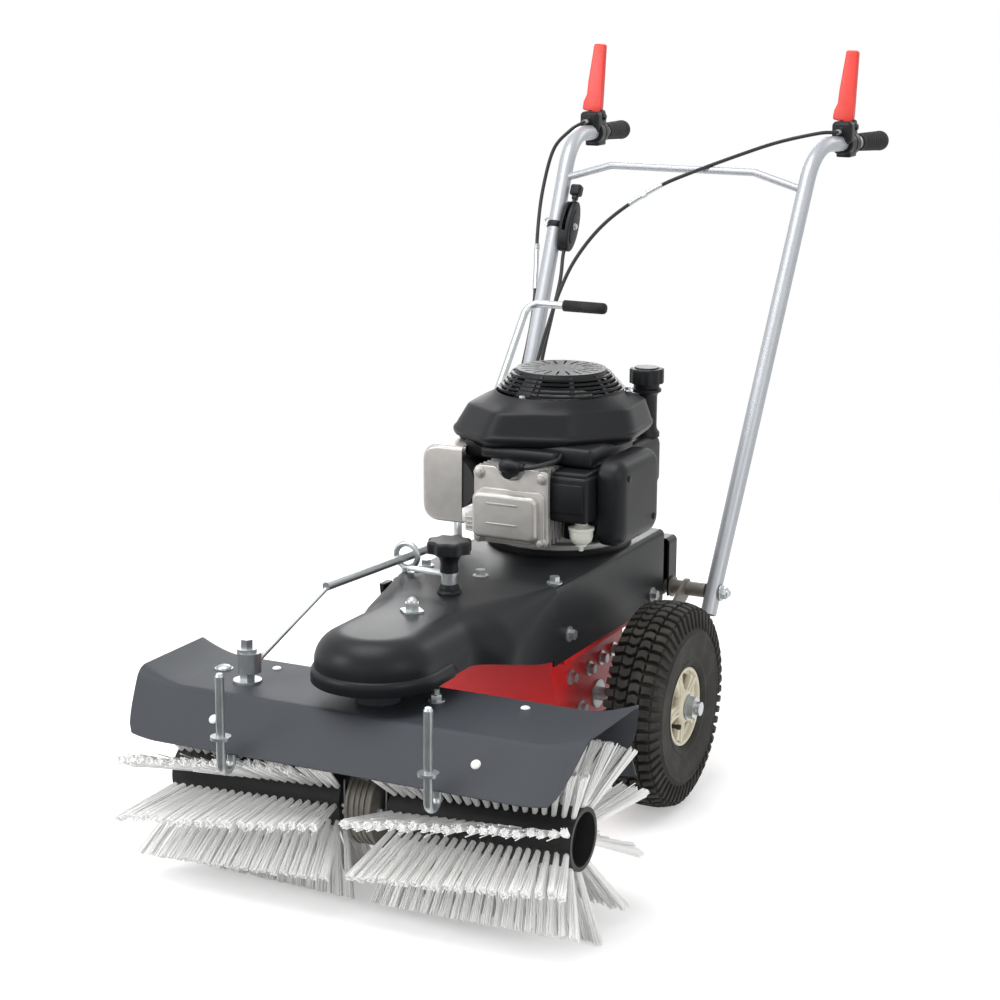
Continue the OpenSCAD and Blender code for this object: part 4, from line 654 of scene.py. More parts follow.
# How far tips lean past the inner and the outer end of a core, and the furthest that a tuft reaches.
LEAN_IN, LEAN_OUT, REACH_END = 22, 36, 327


def tuft(dice, count, width):
    """One tuft of loose strands, standing on its hole and trimmed at the brush surface."""
    bm = bmesh.new()
    length = BRUSH_R - FOOT_R
    loft(bm, [
        [(x, y, z) for x, y in circle_line(r, 8, 0.86 * r)]
        for r, z in ((2.7, 0), (3.1, length * 0.3), (4.1, length * 0.7), (4.9, length * 0.955))
    ])
    for _ in range(count):
        turn, spread = dice.uniform(0, tau), sqrt(dice.uniform(0.35, 1))
        loose = 1.9 if dice.random() < 0.05 else 1.0
        side, fore = spread * cos(turn), spread * sin(turn)
        foot = (2.9 * side, 2.9 * fore, 0)
        tip = Vector((6.3 * side * loose, 5.4 * fore * loose, length - abs(dice.gauss(0, 0.9))))
        tip += Vector((dice.gauss(0, 0.7), dice.gauss(0, 0.7), 0))
        rod(bm, foot, tip, width * MM / 2, width * MM * 0.47, sides=4)
    return bm


def bristles(side, sizes, dice):
    """The bristles of one half of the brush, row by row."""
    whole = bmesh.new()
    pitch = (CORE_END - CORE_START) / sizes.tufts
    places = [[] for _ in range(TUFT_KINDS)]
    for row in range(sizes.tuft_rows):
        for place in range(sizes.tufts):
            share = (place + 0.5) / sizes.tufts
            x = CORE_START + pitch * (place + 0.5)
            angle = tau * row / sizes.tuft_rows + radians(ROW_TURN + ROW_SCREW * side * x)
            turn = shift(0, BRUSH_Y, BRUSH_Z) @ spin(pi / 2 - angle, "X")
            lean = mix(CORE_START - LEAN_IN, CORE_END + LEAN_OUT, share)
            reach = min(lean + dice.gauss(0, 1.4), REACH_END)
            slope = Matrix()
            slope[0][2] = side * (reach - x) / (BRUSH_R - FOOT_R)
            slope[1][2] = dice.gauss(0, 0.02)
            flip = spin(dice.uniform(0, tau), "Z") if dice.random() < 0.3 else Matrix()
            where = turn @ shift(side * x, 0, FOOT_R) @ slope @ flip
            places[dice.randrange(TUFT_KINDS)].append(where)
    for spots in places:
        repeat(whole, tuft(dice, sizes.strand_count, sizes.strand_width), spots)
    for vert in whole.verts:
        vert.co.x = side * max(side * vert.co.x, INNER_X)
    return whole


def gear_housing_shape():
    """The cast drum between the brush halves: bolted side covers, ribs and a slim neck."""
    bm = bmesh.new()
    across = shift(0, BRUSH_Y, BRUSH_Z) @ spin(pi / 2, "Y")
    side_cover = [
        (15.4, 21), (44, 21), (47, 19.4), (56.4, 19.4), (57.6, 18.2), (57.6, 15.4), (56.6, 14.4),
        (54.6, 14.4),
    ]
    ribs = [(54.6, 9.4), (56.6, 8.6), (56.6, 6.4), (54.6, 5.6), (54.6, 1.8), (56.6, 1.0)]
    half = side_cover + ribs
    turned(bm, half + [(r, -x) for r, x in reversed(half)] + [half[0]], across, 64)
    for side in (-1, 1):
        for i in range(6):
            turn = across @ spin(tau * (i + 0.5) / 6, "Z") @ shift(51.5, 0, 0)
            flip = spin(pi, "X") if side < 0 else Matrix()
            seat = turn @ flip @ shift(0, 0, 19.0)
            hex_head(bm, seat, 7.0, 3.2, washer=4.8, washer_h=1.0)
    loft(bm, [
        [(x, BRUSH_Y + y, z) for x, y in rounded_box_line(25 + 2 * grown, 74 + 4 * grown, 12 + grown)]
        for z, grown in ((165, 0.0), (254, 0.0), (259, 1.5), (262, 4.0))
    ])
    closed(bm)
    return bm


def swivel_column_shape():
    """The flange under the hood and the column with its collar, on which the head turns."""
    bm = bmesh.new()
    line = [
        (10.6, 261.2), (57, 261.2), (58, 262.2), (58, 266.5), (30, 266.8), (30, 285.7), (42.5, 285.7),
        (44, 287.2), (44, 299.6), (29.5, 299.6), (29.5, 308.4), (37, 308.4), (38, 309.4), (38, 314.2),
        (10.6, 314.2),
    ]
    turned(bm, line + [line[0]], shift(0, BRUSH_Y, 0), 64)
    closed(bm)
    return bm


def housing_clips_shape():
    """Cross bolts in the drum's side covers, each held by a straight clip."""
    bm = bmesh.new()
    y, z = BRUSH_Y - 34, 131
    for side in (-1, 1):
        rod(bm, (side * 20, y, z), (side * 34.2, y, z), 3.0, sides=16)
        hex_head(bm, facing((side, 0, 0), at=(side * 20.6, y, z)), 10.0, 4.5, washer=8.0, washer_h=1.4)
        wire(bm, [Vector((side * 31, y, height)) for height in (124, z, 150, 166)], 1.2, 8)
    return bm


class SWEEPER_OT_brush(bpy.types.Operator):
    """Bristle tufts along both brush cores, with the gear housing, its column and its clips"""

    bl_idname = "sweeper.brush"
    bl_label = "Brush"

    def execute(self, context):
        sizes = context.scene.sweeper_sizes
        for side, name in SIDES:
            shape = bristles(side, sizes, random.Random(40 + side))
            dressed(shape, f"brush_bristles_{name}", "brush", "bristle", f"bristles_{name}")
        dressed(gear_housing_shape(), "gear_housing", "brush_head", "gear_grey", "gear_case")
        # The column and its flange wear the dark hood grey, not the drum's casting grey: painted shade for
        # the shadow under the belt cover.
        dressed(swivel_column_shape(), "swivel_column", "brush_head", "hood_grey")
        dressed(housing_clips_shape(), "housing_clips", "brush_head", "zinc")
        return {"FINISHED"}


# Hood

HOOD_CORNERS = [(-126.0, 212.0), (-66.0, 270.0), (88.0, 270.0), (146.0, 165.0)]
HOOD_HALF, HOOD_END, HOOD_LIP, FLARE = 285.0, 328.0, 300.0, 16.0


def rounded_line(corners, radius, steps=6):
    """An open line through corners, each rounded by an arc of its own or of one radius."""
    line = [Vector(corners[0])]
    radii = radius if isinstance(radius, tuple) else [radius] * (len(corners) - 2)
    for a, b, c, size in zip(corners, corners[1:], corners[2:], radii):
        a, b, c = Vector(a), Vector(b), Vector(c)
        u, v = (a - b).normalized(), (c - b).normalized()
        cut = size / tan(u.angle(v) / 2)
        start, stop = b + u * cut, b + v * cut
        for step in range(steps + 1):
            t = step / steps
            line.append((1 - t) ** 2 * start + 2 * t * (1 - t) * b + t**2 * stop)
    line.append(Vector(corners[-1]))
    return line


def filled(line, gap):
    """The line with points no further apart than the gap."""
    out = [line[0]]
    for a, b in zip(line, line[1:]):
        count = max(1, ceil((b - a).length / gap))
        out += [a.lerp(b, i / count) for i in range(1, count + 1)]
    return out


def hood_line(share):
    """The hood's outline across, with a softer front fold towards the ends."""
    bend = rounded_line(HOOD_CORNERS, (mix(13.0, 38.0, share**1.6), 14.0), 8)
    line = []
    for a, b in zip(bend, bend[1:]):
        count = 6 if (a, b) in ((bend[0], bend[1]), (bend[9], bend[10]), (bend[-2], bend[-1])) else 1
        line += [a.lerp(b, i / count) for i in range(count)]
    return line + [bend[-1]]


def hood_shape(sheet):
    """A sheet folded across and flared towards both ends."""
    front_edge, front_fold = HOOD_CORNERS[0][1], HOOD_CORNERS[1][1]
    stations = [i / 20 for i in range(21)]
    rows = []
    for side in (-1, 1):
        shares = reversed(stations) if side < 0 else stations
        for share in shares:
            row = []
            for point in hood_line(share):
                flare = min(max((point.y - front_edge) / (front_fold - front_edge), 0), 1)
                curl = max(0.0, (share - 0.1) / 0.9)
                x = mix(HOOD_HALF - 34, mix(HOOD_LIP, HOOD_END - 2, flare**0.6), share)
                rise = FLARE * flare * curl**1.6 + 3.5 * (1 - flare) * curl**2
                back = (6.0 if point.x > 0 else 3.0) * curl**2
                row.append((side * x, BRUSH_Y + point.x + back, point.y + rise))
            rows.append(row)
    bm = bmesh.new()
    grow(bm, rows, ring=False)
    thicken(bm, lambda face: face.calc_center_median().z, (0, 0, 1), sheet)
    return bm


class SWEEPER_OT_hood(bpy.types.Operator):
    """The formed hood with its flared ends"""

    bl_idname = "sweeper.hood"
    bl_label = "Hood"

    def execute(self, context):
        sheet = context.scene.sweeper_sizes.sheet * MM
        dressed(hood_shape(sheet), "hood_sheet", "brush_head", "hood_grey", "hood", sharp=50)
        return {"FINISHED"}


# Belt cover

NOSE_R, COVER_TOP, COVER_HALF, SEAM_Y = 82.0, 364.0, 120.0, -206.3
# The lip: where it starts, how far it takes to come out, how far it stands out and where it ends above.
LIP_Y, LIP_RUN, LIP_OUT, LIP_TOP = -432.0, 14, 4.6, 22.5


def cover_width(y):
    return mix(NOSE_R, COVER_HALF, ease((y + 398) / 68))


def cover_flat(y):
    return mix(42.0, 111.0, min(max((y + 356) / 150, 0), 1))


def cover_low(y):
    return mix(298.0, 262.0, ease((y + 398) / 192))


def cover_stations():
    """Plan point, inward direction, edge radius and Y along the machine of the cover's outline."""
    spots = []
    sides = [mix(SEAM_Y, BRUSH_Y, i / 40) for i in range(41)]
    for y in sides:
        spots.append((Vector((-cover_width(y), y)), Vector((1, 0)), cover_width(y) - cover_flat(y), y))
    for i in range(1, 32):
        a = pi + pi * i / 32
        way = Vector((cos(a), sin(a)))
        spots.append((Vector((0, BRUSH_Y)) + NOSE_R * way, -way, 40.0, BRUSH_Y - 1))
    for y in reversed(sides):
        spots.append((Vector((cover_width(y), y)), Vector((-1, 0)), cover_width(y) - cover_flat(y), y))
    return spots


def cover_shape(sheet):
    """A sheet over the belt, with a rolled lip round its nose."""
    spots = cover_stations()

    def row(height):
        """Points of the outline at a share of the wall (below 1) or of the rounding (above 1)."""
        points = []
        for spot, inward, radius, y in spots:
            low = cover_low(y)
            lip = ease((LIP_Y - y) / LIP_RUN)
            rise = mix(0.4, 1.0, lip)
            if height < 1:
                z, out = height_band[height]
                point = spot - inward * (LIP_OUT * lip * out)
                points.append((point.x, point.y, low + z * rise))
            else:
                angle = pi / 2 * (height - 1) / bends
                point = spot + inward * radius * (1 - cos(angle))
                z = COVER_TOP - radius + radius * sin(angle)
                points.append((point.x, point.y, max(z, low + LIP_TOP * rise)))
        return points

    bends = 12
    height_band = {
        0.0: (0.0, 0.8), 0.1: (0.8, 1.0), 0.2: (11.5, 1.0), 0.25: (13.6, 0.96), 0.3: (15.4, 0.86),
        0.4: (17.0, 0.68), 0.5: (18.3, 0.45), 0.55: (19.1, 0.22), 0.6: (19.5, 0.0), 0.7: (21.5, 0.0),
    }
    rows = [row(h) for h in height_band] + [row(1 + i) for i in range(bends + 1)]
    bm = bmesh.new()
    _, last = grow(bm, rows, ring=False)
    cap(bm, last)
    bmesh.ops.remove_doubles(bm, verts=bm.verts[:], dist=0.01)
    thicken(bm, lambda face: face.calc_area(), (0, 0, 1), sheet)
    return bm


class SWEEPER_OT_belt_cover(bpy.types.Operator):
    """The belt cover with its round nose and lip"""

    bl_idname = "sweeper.belt_cover"
    bl_label = "Belt cover"

    def execute(self, context):
        sheet = context.scene.sweeper_sizes.sheet * MM
        dressed(cover_shape(sheet), "belt_cover_shell", "chassis", "frame_black", "belt_cover", sharp=50)
        return {"FINISHED"}


# Engine

SHROUD_Y, SHROUD_HALF, SHROUD_FOOT, SHROUD_RISE, SHROUD_WALL = 55.0, 128.0, 518, 70, 3.0
# The shroud's foot stands to the left by the lean, and each half is longer than it is wide.
SHROUD_LEAN, SHROUD_LONGER = 10, 10
# The flat sides turn round from this height on, over this rise.
ROUND_FROM, ROUND_RUN = 566, 22
FILLER = shift(77, 200, 0)
SHROUD_LEVELS = [
    (522, 0.955), (522.6, 0.968), (524, 0.982), (527, 0.997), (531, 1.008), (533.5, 1.01), (535.6, 1.006),
    (537, 0.998), (538.2, 0.989), (541, 0.979), (548, 0.957), (556, 0.931), (562, 0.912), (566, 0.899),
    (568, 0.891), (569.4, 0.882), (570.6, 0.870), (573, 0.842), (576, 0.808), (580, 0.770), (584, 0.738),
    (586.5, 0.721), (587.4, 0.716), (588, 0.712),
]
# The flat sides of the shroud: where each faces, and how far out it stands.
SHROUD_SIDES = [
    (-72, 0.925), (-36, 0.92), (-124, 1.07), (8, 1.02), (58, 1.08), (98, 1.08), (142, 1.08), (188, 1.06),
]
CORNER_POWER = 26


def shroud_ring(z, share, inset=0.0, points=120):
    """A ring of the shroud, with flat sides that turn round towards the top."""
    half = share * SHROUD_HALF - inset
    lean = SHROUD_LEAN * (1 - (z - SHROUD_FOOT) / SHROUD_RISE)
    ring = []
    for i in range(points):
        a = tau * i / points
        near = [cos(a - radians(turn)) / out for turn, out in SHROUD_SIDES]
        flat = sum(max(0.0, one) ** CORNER_POWER for one in near) ** (-1 / CORNER_POWER)
        reach = mix(flat, 1.0, ease((z - ROUND_FROM) / ROUND_RUN))
        y = SHROUD_Y + (half + SHROUD_LONGER) * reach * sin(a)
        ring.append((half * reach * cos(a) - lean, y, z))
    return ring


def shroud_shape():
    """The blower shroud: an outer and an inner skin, joined at the foot."""
    bm = bmesh.new()
    foot_share = SHROUD_LEVELS[0][1]
    outside = [shroud_ring(z, share) for z, share in SHROUD_LEVELS]
    inside = [shroud_ring(z - SHROUD_WALL, share, SHROUD_WALL) for z, share in reversed(SHROUD_LEVELS[4:])]
    grow(bm, outside + inside + [shroud_ring(SHROUD_FOOT, foot_share, SHROUD_WALL)])
    bmesh.ops.bridge_loops(bm, edges=[edge for edge in bm.edges if edge.is_boundary])
    closed(bm)
    return bm


def cowl_shape():
    """Two blocks of cowling under the shroud."""
    bm = bmesh.new()
    blocks(bm, [((-98, -62, 498), (104, 92, 527), 8, 3), ((-60, -86, 505), (58, -50, 522), 6, 3)])
    return bm


def tank_shape():
    """The moulded tank with its filler neck."""
    bm = bmesh.new()
    box_skin(bm, (2.5, 156, 461), (189, 128, 82), 18, 14)
    turned(bm, [
        (0, 498), (21, 498), (21, 504), (17.5, 509), (16.5, 514), (16.5, 560), (18, 564), (22.5, 567),
        (22.5, 571), (19.5, 572.5), (19.5, 580.4), (0, 580.4),
    ], FILLER, 36)
    closed(bm)
    return bm


class SWEEPER_OT_shroud(bpy.types.Operator):
    """The blower shroud of the engine, the cowl under it and the fuel tank"""

    bl_idname = "sweeper.shroud"
    bl_label = "Blower shroud"

    def execute(self, context):
        dressed(shroud_shape(), "blower_shroud", "chassis", "engine_black", "engine_shroud", sharp=60)
        dressed(cowl_shape(), "cooling_cowl", "chassis", "engine_black")
        dressed(tank_shape(), "moulded_fuel_tank", "chassis", "engine_black", "fuel_tank", sharp=45)
        return {"FINISHED"}


# Wheels

WHEEL_X, WHEEL_Z, TYRE_R = 197.0, 150.0, 150.0
TYRE_LINE = [
    (58, 31.5), (60, 35.0), (64, 37.2), (67, 38.6), (69.5, 38.5), (71, 37.9), (77, 39.0), (94, 41.2),
    (104, 41.7), (106, 42.4), (108.5, 42.4), (110, 41.2), (116, 38.8), (126, 36.2), (134, 33.0),
    (139.5, 27), (141.8, 18), (142.6, 6),
]


def wheel_place(side):
    return shift(side * WHEEL_X, 0, WHEEL_Z) @ spin(side * pi / 2, "Y")


def scallop(length, width, bow):
    """The outline of a tread block whose two cross edges bow the same way."""
    places = [-0.5, -0.25, 0.0, 0.25, 0.5]
    low = [(-length / 2 + bow * (1 - 4 * v * v), v * width) for v in places]
    high = [(length / 2 + bow * (1 - 4 * v * v), v * width) for v in reversed(places)]
    return high + low


def lug(bm, turn, radius, lateral, tilt, outline, depth, draft):
    """One tread block standing on the tyre."""
    side = 1 if lateral >= 0 else -1
    radial = Vector((cos(turn), sin(turn), 0))
    round_way = Vector((-sin(turn), cos(turn), 0))
    out = cos(tilt) * radial + sin(tilt) * side * Vector((0, 0, 1))
    across = out.cross(round_way)
    place = Matrix.Translation(radial * radius + Vector((0, 0, lateral)) - out * depth)
    place = place @ Matrix((round_way, across, out)).transposed().to_4x4()
    line = outline if side > 0 else [(x, -y) for x, y in reversed(outline)]
    plate(bm, line, place, depth, edge=0.8, segments=1, draft=draft)


def tyre_shape(sizes):
    """A turned tyre with blocks on its tread and ribs on its shoulders."""
    bm = bmesh.new()
    half = [(p.x, p.y) for p in smooth_line([(r, z, 0) for r, z in TYRE_LINE], 2)]
    turned(bm, half + [(r, -z) for r, z in reversed(half)] + [half[0]], steps=84)
    closed(bm)
    pitch = tau * TYRE_R / sizes.lug_count
    deep = sizes.lug_depth * MM + 2
    group = bmesh.new()
    for side in (1, -1):
        turn = 0.25 * side * tau / sizes.lug_count
        middle_block = scallop(pitch * 0.72, 17.0, -side * pitch * 0.24)
        outer_block = scallop(pitch * 0.64, 16.5, -side * pitch * 0.06)
        rib = [(-pitch * 0.30, -14.5), (pitch * 0.30, -14.5), (pitch * 0.16, 14.0), (-pitch * 0.16, 14.0)]
        lug(group, turn, 149.6, side * 9.4, radians(2), middle_block, deep, 0.9)
        lug(group, turn, 146.4, side * 27.6, radians(17), outer_block, deep, 0.9)
        lug(group, turn, 127.4, side * 39.6, radians(78), rib, 5.0, 0.84)
    count = sizes.lug_count
    repeat(bm, group, [spin(tau * i / count, "Z") for i in range(count)])
    return bm


def rim_shape():
    """A cream rim: its ring, its hub and five ribbed spokes."""
    bm = bmesh.new()
    turned(bm, [
        (57.8, -31.5), (57.8, 31.5), (57.4, 33.4), (55.6, 34.2), (53.4, 33.8), (52.2, 32.0), (51.4, 27.5),
        (49.0, 26.2), (47.6, 25.0), (47.6, 23.5), (51.2, 22.5), (51.2, -31.5), (57.8, -31.5),
    ], steps=64)
    turned(bm, [
        (10.2, -34), (21, -34), (21, 20), (24, 25), (24.6, 31), (23.6, 34.6), (21.4, 37.2), (19.4, 38),
        (10.2, 38), (10.2, -34),
    ], steps=48)
    for i in range(5):
        turn = spin(tau * (i + 0.81) / 5, "Z")
        arm = [(20, -8.5), (36, -9.5), (50, -13), (50, 13), (36, 9.5), (20, 8.5)]
        plate(bm, arm, turn @ shift(0, 0, 24), 7.5, edge=1.6)
        for side in (1, -1):
            rib = [(19, side * 7.5), (19, side * 3.6), (51.5, -side * 1.2), (51.5, side * 2.8)]
            plate(bm, rib if side < 0 else rib[::-1], turn @ shift(0, 0, 28), 6.4, edge=1.2)
    return bm


def valve_stem_shape():
    """The valve stem in the face of the rim."""
    bm = bmesh.new()
    turned(bm, [
        (0, 14), (4.2, 14), (4.2, 24), (3.2, 27), (3.2, 35), (3.9, 35.4), (3.9, 40), (3.2, 41), (0, 41),
    ], shift(0, -39.5, 0), 16)
    bm.transform(spin(radians(31), "Z"))
    return bm


class SWEEPER_OT_wheels(bpy.types.Operator):
    """Turf tyres with tread blocks, and spoked rims with valve stems"""

    bl_idname = "sweeper.wheels"
    bl_label = "Wheels"

    def execute(self, context):
        for side, name in SIDES:
            wheel, place = f"wheel_{name}", wheel_place(side)
            tread, rim, stem = tyre_shape(context.scene.sweeper_sizes), rim_shape(), valve_stem_shape()
            for bm in (tread, rim, stem):
                bm.transform(place)
            dressed(tread, f"turf_tyre_{name}", wheel, "tyre", f"tyre_{name}", sharp=30)
            dressed(rim, f"spoked_rim_{name}", wheel, "rim", f"rim_{name}", sharp=34)
            dressed(stem, f"valve_stem_{name}", wheel, "tyre")
        return {"FINISHED"}


# Engine details

ENGINE_Y = 60.0


def box_skin(bm, centre, size, corner, edge, bow=0.0, levels=5):
    """A soft box along X: rounded outline, rounded outer rim and a slightly bowed face."""
    rings = []
    width, height = size[1], size[2]
    start, stop = centre[0] - size[0] / 2, centre[0] + size[0] / 2
    shape = [(start, 3.0), (start + 2.0, 0.8), (start + 5.0, 0.0), (stop - edge, 0.0)]
    shape += [
        (stop - edge + edge * sin(a), edge * (1 - cos(a)))
        for a in (pi / 2 * k / levels for k in range(1, levels + 1))
    ]
    for x, inset in shape:
        line = rounded_box_line(width - 2 * inset, height - 2 * inset, max(corner - inset, 2.0), 7)
        rings.append([(x, centre[1] + u, centre[2] + v) for u, v in line])
    for share in (0.8, 0.5, 0.2):
        x = stop + bow * (1 - share)
        line = rounded_box_line(width - 2 * edge, height - 2 * edge, max(corner - edge, 2.0), 7)
        rings.append([(x, centre[1] + u * share, centre[2] + v * share) for u, v in line])
    loft(bm, rings)


def valve_cover_shape():
    """The cast cover on the cylinder head, with a notch for the plug."""
    bm = bmesh.new()
    front = facing((0, -1, 0), at=(0, -100.1, 444))
    corner = rounded_box_line(116, 112, 9, 5)
    notch = [(27, 56), (21, 53.5), (16.5, 45.5), (11.5, 40.5), (0, 38.2)]
    notch += [(-x, y) for x, y in reversed(notch[:-1])]
    outline = corner[:6] + notch + corner[6:]
    plate(bm, outline, front, 8, edge=1.6, segments=3)
    raised = front @ shift(-6, -14, 7)
    plate(bm, rounded_box_line(104, 68, 11, 6), raised, 13, edge=5.0, segments=5, draft=0.95)
    low = front @ shift(-2, -45, 7)
    plate(bm, rounded_box_line(74, 14, 6, 5), low, 5, edge=2.0, segments=3)
    step = front @ shift(2, -12, 7)
    plate(bm, rounded_box_line(104, 74, 10, 5), step, 4.0, edge=1.6, segments=3)
    for y in (4.5, -24.5):
        plate(bm, rounded_box_line(50, 3.0, 1.4, 3), front @ shift(-8, y, 19.6), 1.3, edge=0.5)
    for x in (-49, 49):
        for y in (-48, 45):
            spot = front @ shift(x, y, 7)
            turned(bm, [(0, 0), (8.6, 0), (8.6, 2.6), (7.6, 3.2), (0, 3.2)], spot, 24)
            hex_head(bm, spot @ shift(0, 0, 3), 9.5, 4.6)
    return bm


def shield_shape():
    """Heat shield: an open rounded wrap with a front face."""
    line = filled(rounded_line([(-92, 402), (-157, 402), (-157, 516), (-92, 516)], 27, 9), 9)
    middle_z = 459.0
    rows = []
    rim = [(-80, 6.0), (-79.6, 4.0), (-78.4, 2.2), (-76.6, 0.9), (-74, 0.2), (-71, 0), (-30, 0), (22, 0)]
    for y, inset in rim:
        row = []
        for i, point in enumerate(line):
            a, b = line[max(i - 1, 0)], line[min(i + 1, len(line) - 1)]
            way = (b - a).normalized()
            inward = Vector((-way.y, way.x))
            if inward.dot(Vector((-92, middle_z)) - point) < 0:
                inward = -inward
            spot = point + inward * inset
            row.append((spot.x, y, spot.y))
        rows.append(row)
    bm = bmesh.new()
    first, _ = grow(bm, rows, ring=False)
    cap(bm, first)
    thicken(bm, frontmost, (0, -1, 0), 1.6)
    return bm


def fins_shape():
    """Crossing cooling fins of the cylinder."""
    bm = bmesh.new()
    for i in range(4):
        block(bm, (-78, -96 + 9 * i, 399), (-54, -92.6 + 9 * i, 424), 1.2, 2)
        block(bm, (-76, -98, 398.5 + 6.2 * i), (-52, -84, 401.2 + 6.2 * i), 1.0, 2)
    return bm


def cleaner_shape():
    """The air cleaner's rounded box with two screws."""
    bm = bmesh.new()
    box_skin(bm, (132, 11, 449), (39.6, 146, 126), 27, 19, bow=0.4)
    for y, z in ((-36, 486), (58, 412)):
        seat = facing((1, 0, 0), at=(151.4, y, z))
        turned(bm, [(0, 0), (5, 0), (5, 1.6), (4, 2.4), (0, 2.6)], seat, 16)
    closed(bm)
    return bm


def intake_shape():
    """The intake duct, made of rounded blocks."""
    bm = bmesh.new()
    blocks(bm, [
        ((53.4, -94, 426), (111.6, -34, 492), 5, 4),
        ((56, -90, 488), (109, -40, 498), 4, 4),
        ((57, -96.4, 440), (106, -93, 482), 1.6, 3),
        ((56, -48, 390), (110, -30, 432), 3, 3),
    ])
    return bm


def bowl_shape():
    """The carburettor's bowl with its drain screw."""
    bm = bmesh.new()
    x, y = 92, -66
    turned(bm, [
        (0, 388), (8, 388), (8, 391), (11, 392), (14.5, 395), (16.8, 402), (17, 411), (18.6, 412),
        (18.6, 416), (12, 417), (9, 420), (9, 427), (0, 427),
    ], shift(x, y, 0), 32)
    rod(bm, (x, y, 381), (x, y, 389), 3.6, sides=6)
    block(bm, (74, -70, 404), (84, -62, 412), 1.5, 2)
    return bm


def plug_boot_shape():
    """The boot over the spark plug and the collar behind it."""
    bm = bmesh.new()
    turned(bm, [
        (0, 0), (6.5, 0), (8.5, 1.2), (9.6, 4), (9.8, 18), (8.4, 20), (8.4, 23), (7.0, 25), (7.0, 27),
        (7.8, 28), (7.8, 30), (6.2, 32), (5.0, 37), (0, 37),
    ], facing((1, 0, 0), at=(-11, -118, 505)), 24)
    seat = facing((0, -1, 0), at=(0, -100.1, 496))
    turned(bm, [(0, 0), (9, 0), (9, 7), (10, 8), (10, 18), (0, 18)], seat, 24)
    return bm


class SWEEPER_OT_engine_front(bpy.types.Operator):
    """Valve cover, heat shield, air cleaner, intake and plug"""

    bl_idname = "sweeper.engine_front"
    bl_label = "Engine front"

    def execute(self, context):
        for shape, name, slot, *nodes, sharp in (
            (valve_cover_shape(), "valve_cover_casting", "engine_silver", "valve_cover", 40),
            (shield_shape(), "heat_shield", "engine_silver", "muffler_shield", 50),
            (fins_shape(), "cylinder_fins", "engine_cast", 38),
            (cleaner_shape(), "air_cleaner_cover", "engine_black", "air_cleaner", 45),
            (intake_shape(), "intake_duct", "engine_black", "intake_elbow", 45),
            (bowl_shape(), "carburettor_bowl", "bowl_white", "carburettor", 38),
            (plug_boot_shape(), "plug_boot", "engine_black", "plug_cap", 38),
            (cord_shape([smooth_line(PLUG_ROUTE, 6)], 3.5), "plug_wire", "cable", "plug_lead", 38),
        ):
            dressed(shape, name, "chassis", slot, *nodes, sharp=sharp)
        return {"FINISHED"}


def starter_panel_shape():
    """A smooth panel over the rings on the front of the starter cover."""
    bm = bmesh.new()
    rows = []
    for t in (0.0, 0.12, 0.5, 0.88, 1.0):
        r, z = mix(94.5, 70.5, t), mix(588.5, 614.0, t)
        half = mix(0.125, 0.15, t)
        rows.append([
            (r * cos(a), ENGINE_Y + r * sin(a), z)
            for a in (-pi / 2 - 0.2 + half * k / 4 for k in range(-4, 5))
        ])
    grow(bm, rows, ring=False)
    thicken(bm, frontmost, (0, -1, 0), 2.4)
    return bm


def starter_screws_shape():
    """Three screws round the starter cover."""
    bm = bmesh.new()
    for turn in (-1.75, 0.45, 2.6):
        spot = (98 * cos(turn), ENGINE_Y + 98 * sin(turn), 584.2)
        hex_head(bm, Matrix.Translation(spot), 8, 5, 7.5, 1.4)
    return bm


def fuel_cap_shape():
    """A cap with twelve grip ribs and a raised middle."""
    bm = bmesh.new()
    ribs = lobed_line(lambda a: 25.4 + 0.6 * tanh(3 * cos(12 * a)))
    plate(bm, ribs, FILLER @ shift(0, 0, 580), 22, edge=2.6, segments=4)
    turned(bm, [(0, 601), (19, 601), (19, 602.4), (17.4, 604), (0, 604)], FILLER, 40)
    return bm


class SWEEPER_OT_engine_top(bpy.types.Operator):
    """Starter panel, screws and the ribbed fuel cap"""

    bl_idname = "sweeper.engine_top"
    bl_label = "Engine top"

    def execute(self, context):
        dressed(starter_panel_shape(), "starter_panel", "chassis", "engine_black", sharp=50)
        dressed(starter_screws_shape(), "starter_screws", "chassis", "zinc")
        dressed(fuel_cap_shape(), "ribbed_fuel_cap", "fuel_cap", "engine_black", "fuel_cap", sharp=30)
        return {"FINISHED"}


# Fittings on cover and hood

KNOB_Y = -296
KNOB = shift(0, KNOB_Y, 0)


def star_knob_shape():
    """An eight-lobed knob on its neck and stud."""
    bm = bmesh.new()
    lobes = lobed_line(lambda a: 29.2 + 2.2 * cos(8 * a))
    plate(bm, lobes, KNOB @ shift(0, 0, 421), 17, edge=4.5, segments=5)
    turned(bm, [
        (0, 393.4), (12, 393.4), (12.6, 394), (12.0, 405), (13.2, 411), (16.5, 416), (22, 420), (23, 422),
        (0, 422),
    ], KNOB, 32)
    rod(bm, (0, KNOB_Y, 359.5), (0, KNOB_Y, 395), 4.9)
    return bm


def knob_bush_shape():
    """The rubber bush under the knob."""
    bm = bmesh.new()
    turned(bm, [
        (5.4, 364), (16.5, 364), (17, 365), (16, 367.5), (14.2, 369), (14.2, 371), (13, 374), (12.2, 377),
        (5.4, 377), (5.4, 364),
    ], KNOB, 32)
    closed(bm)
    return bm


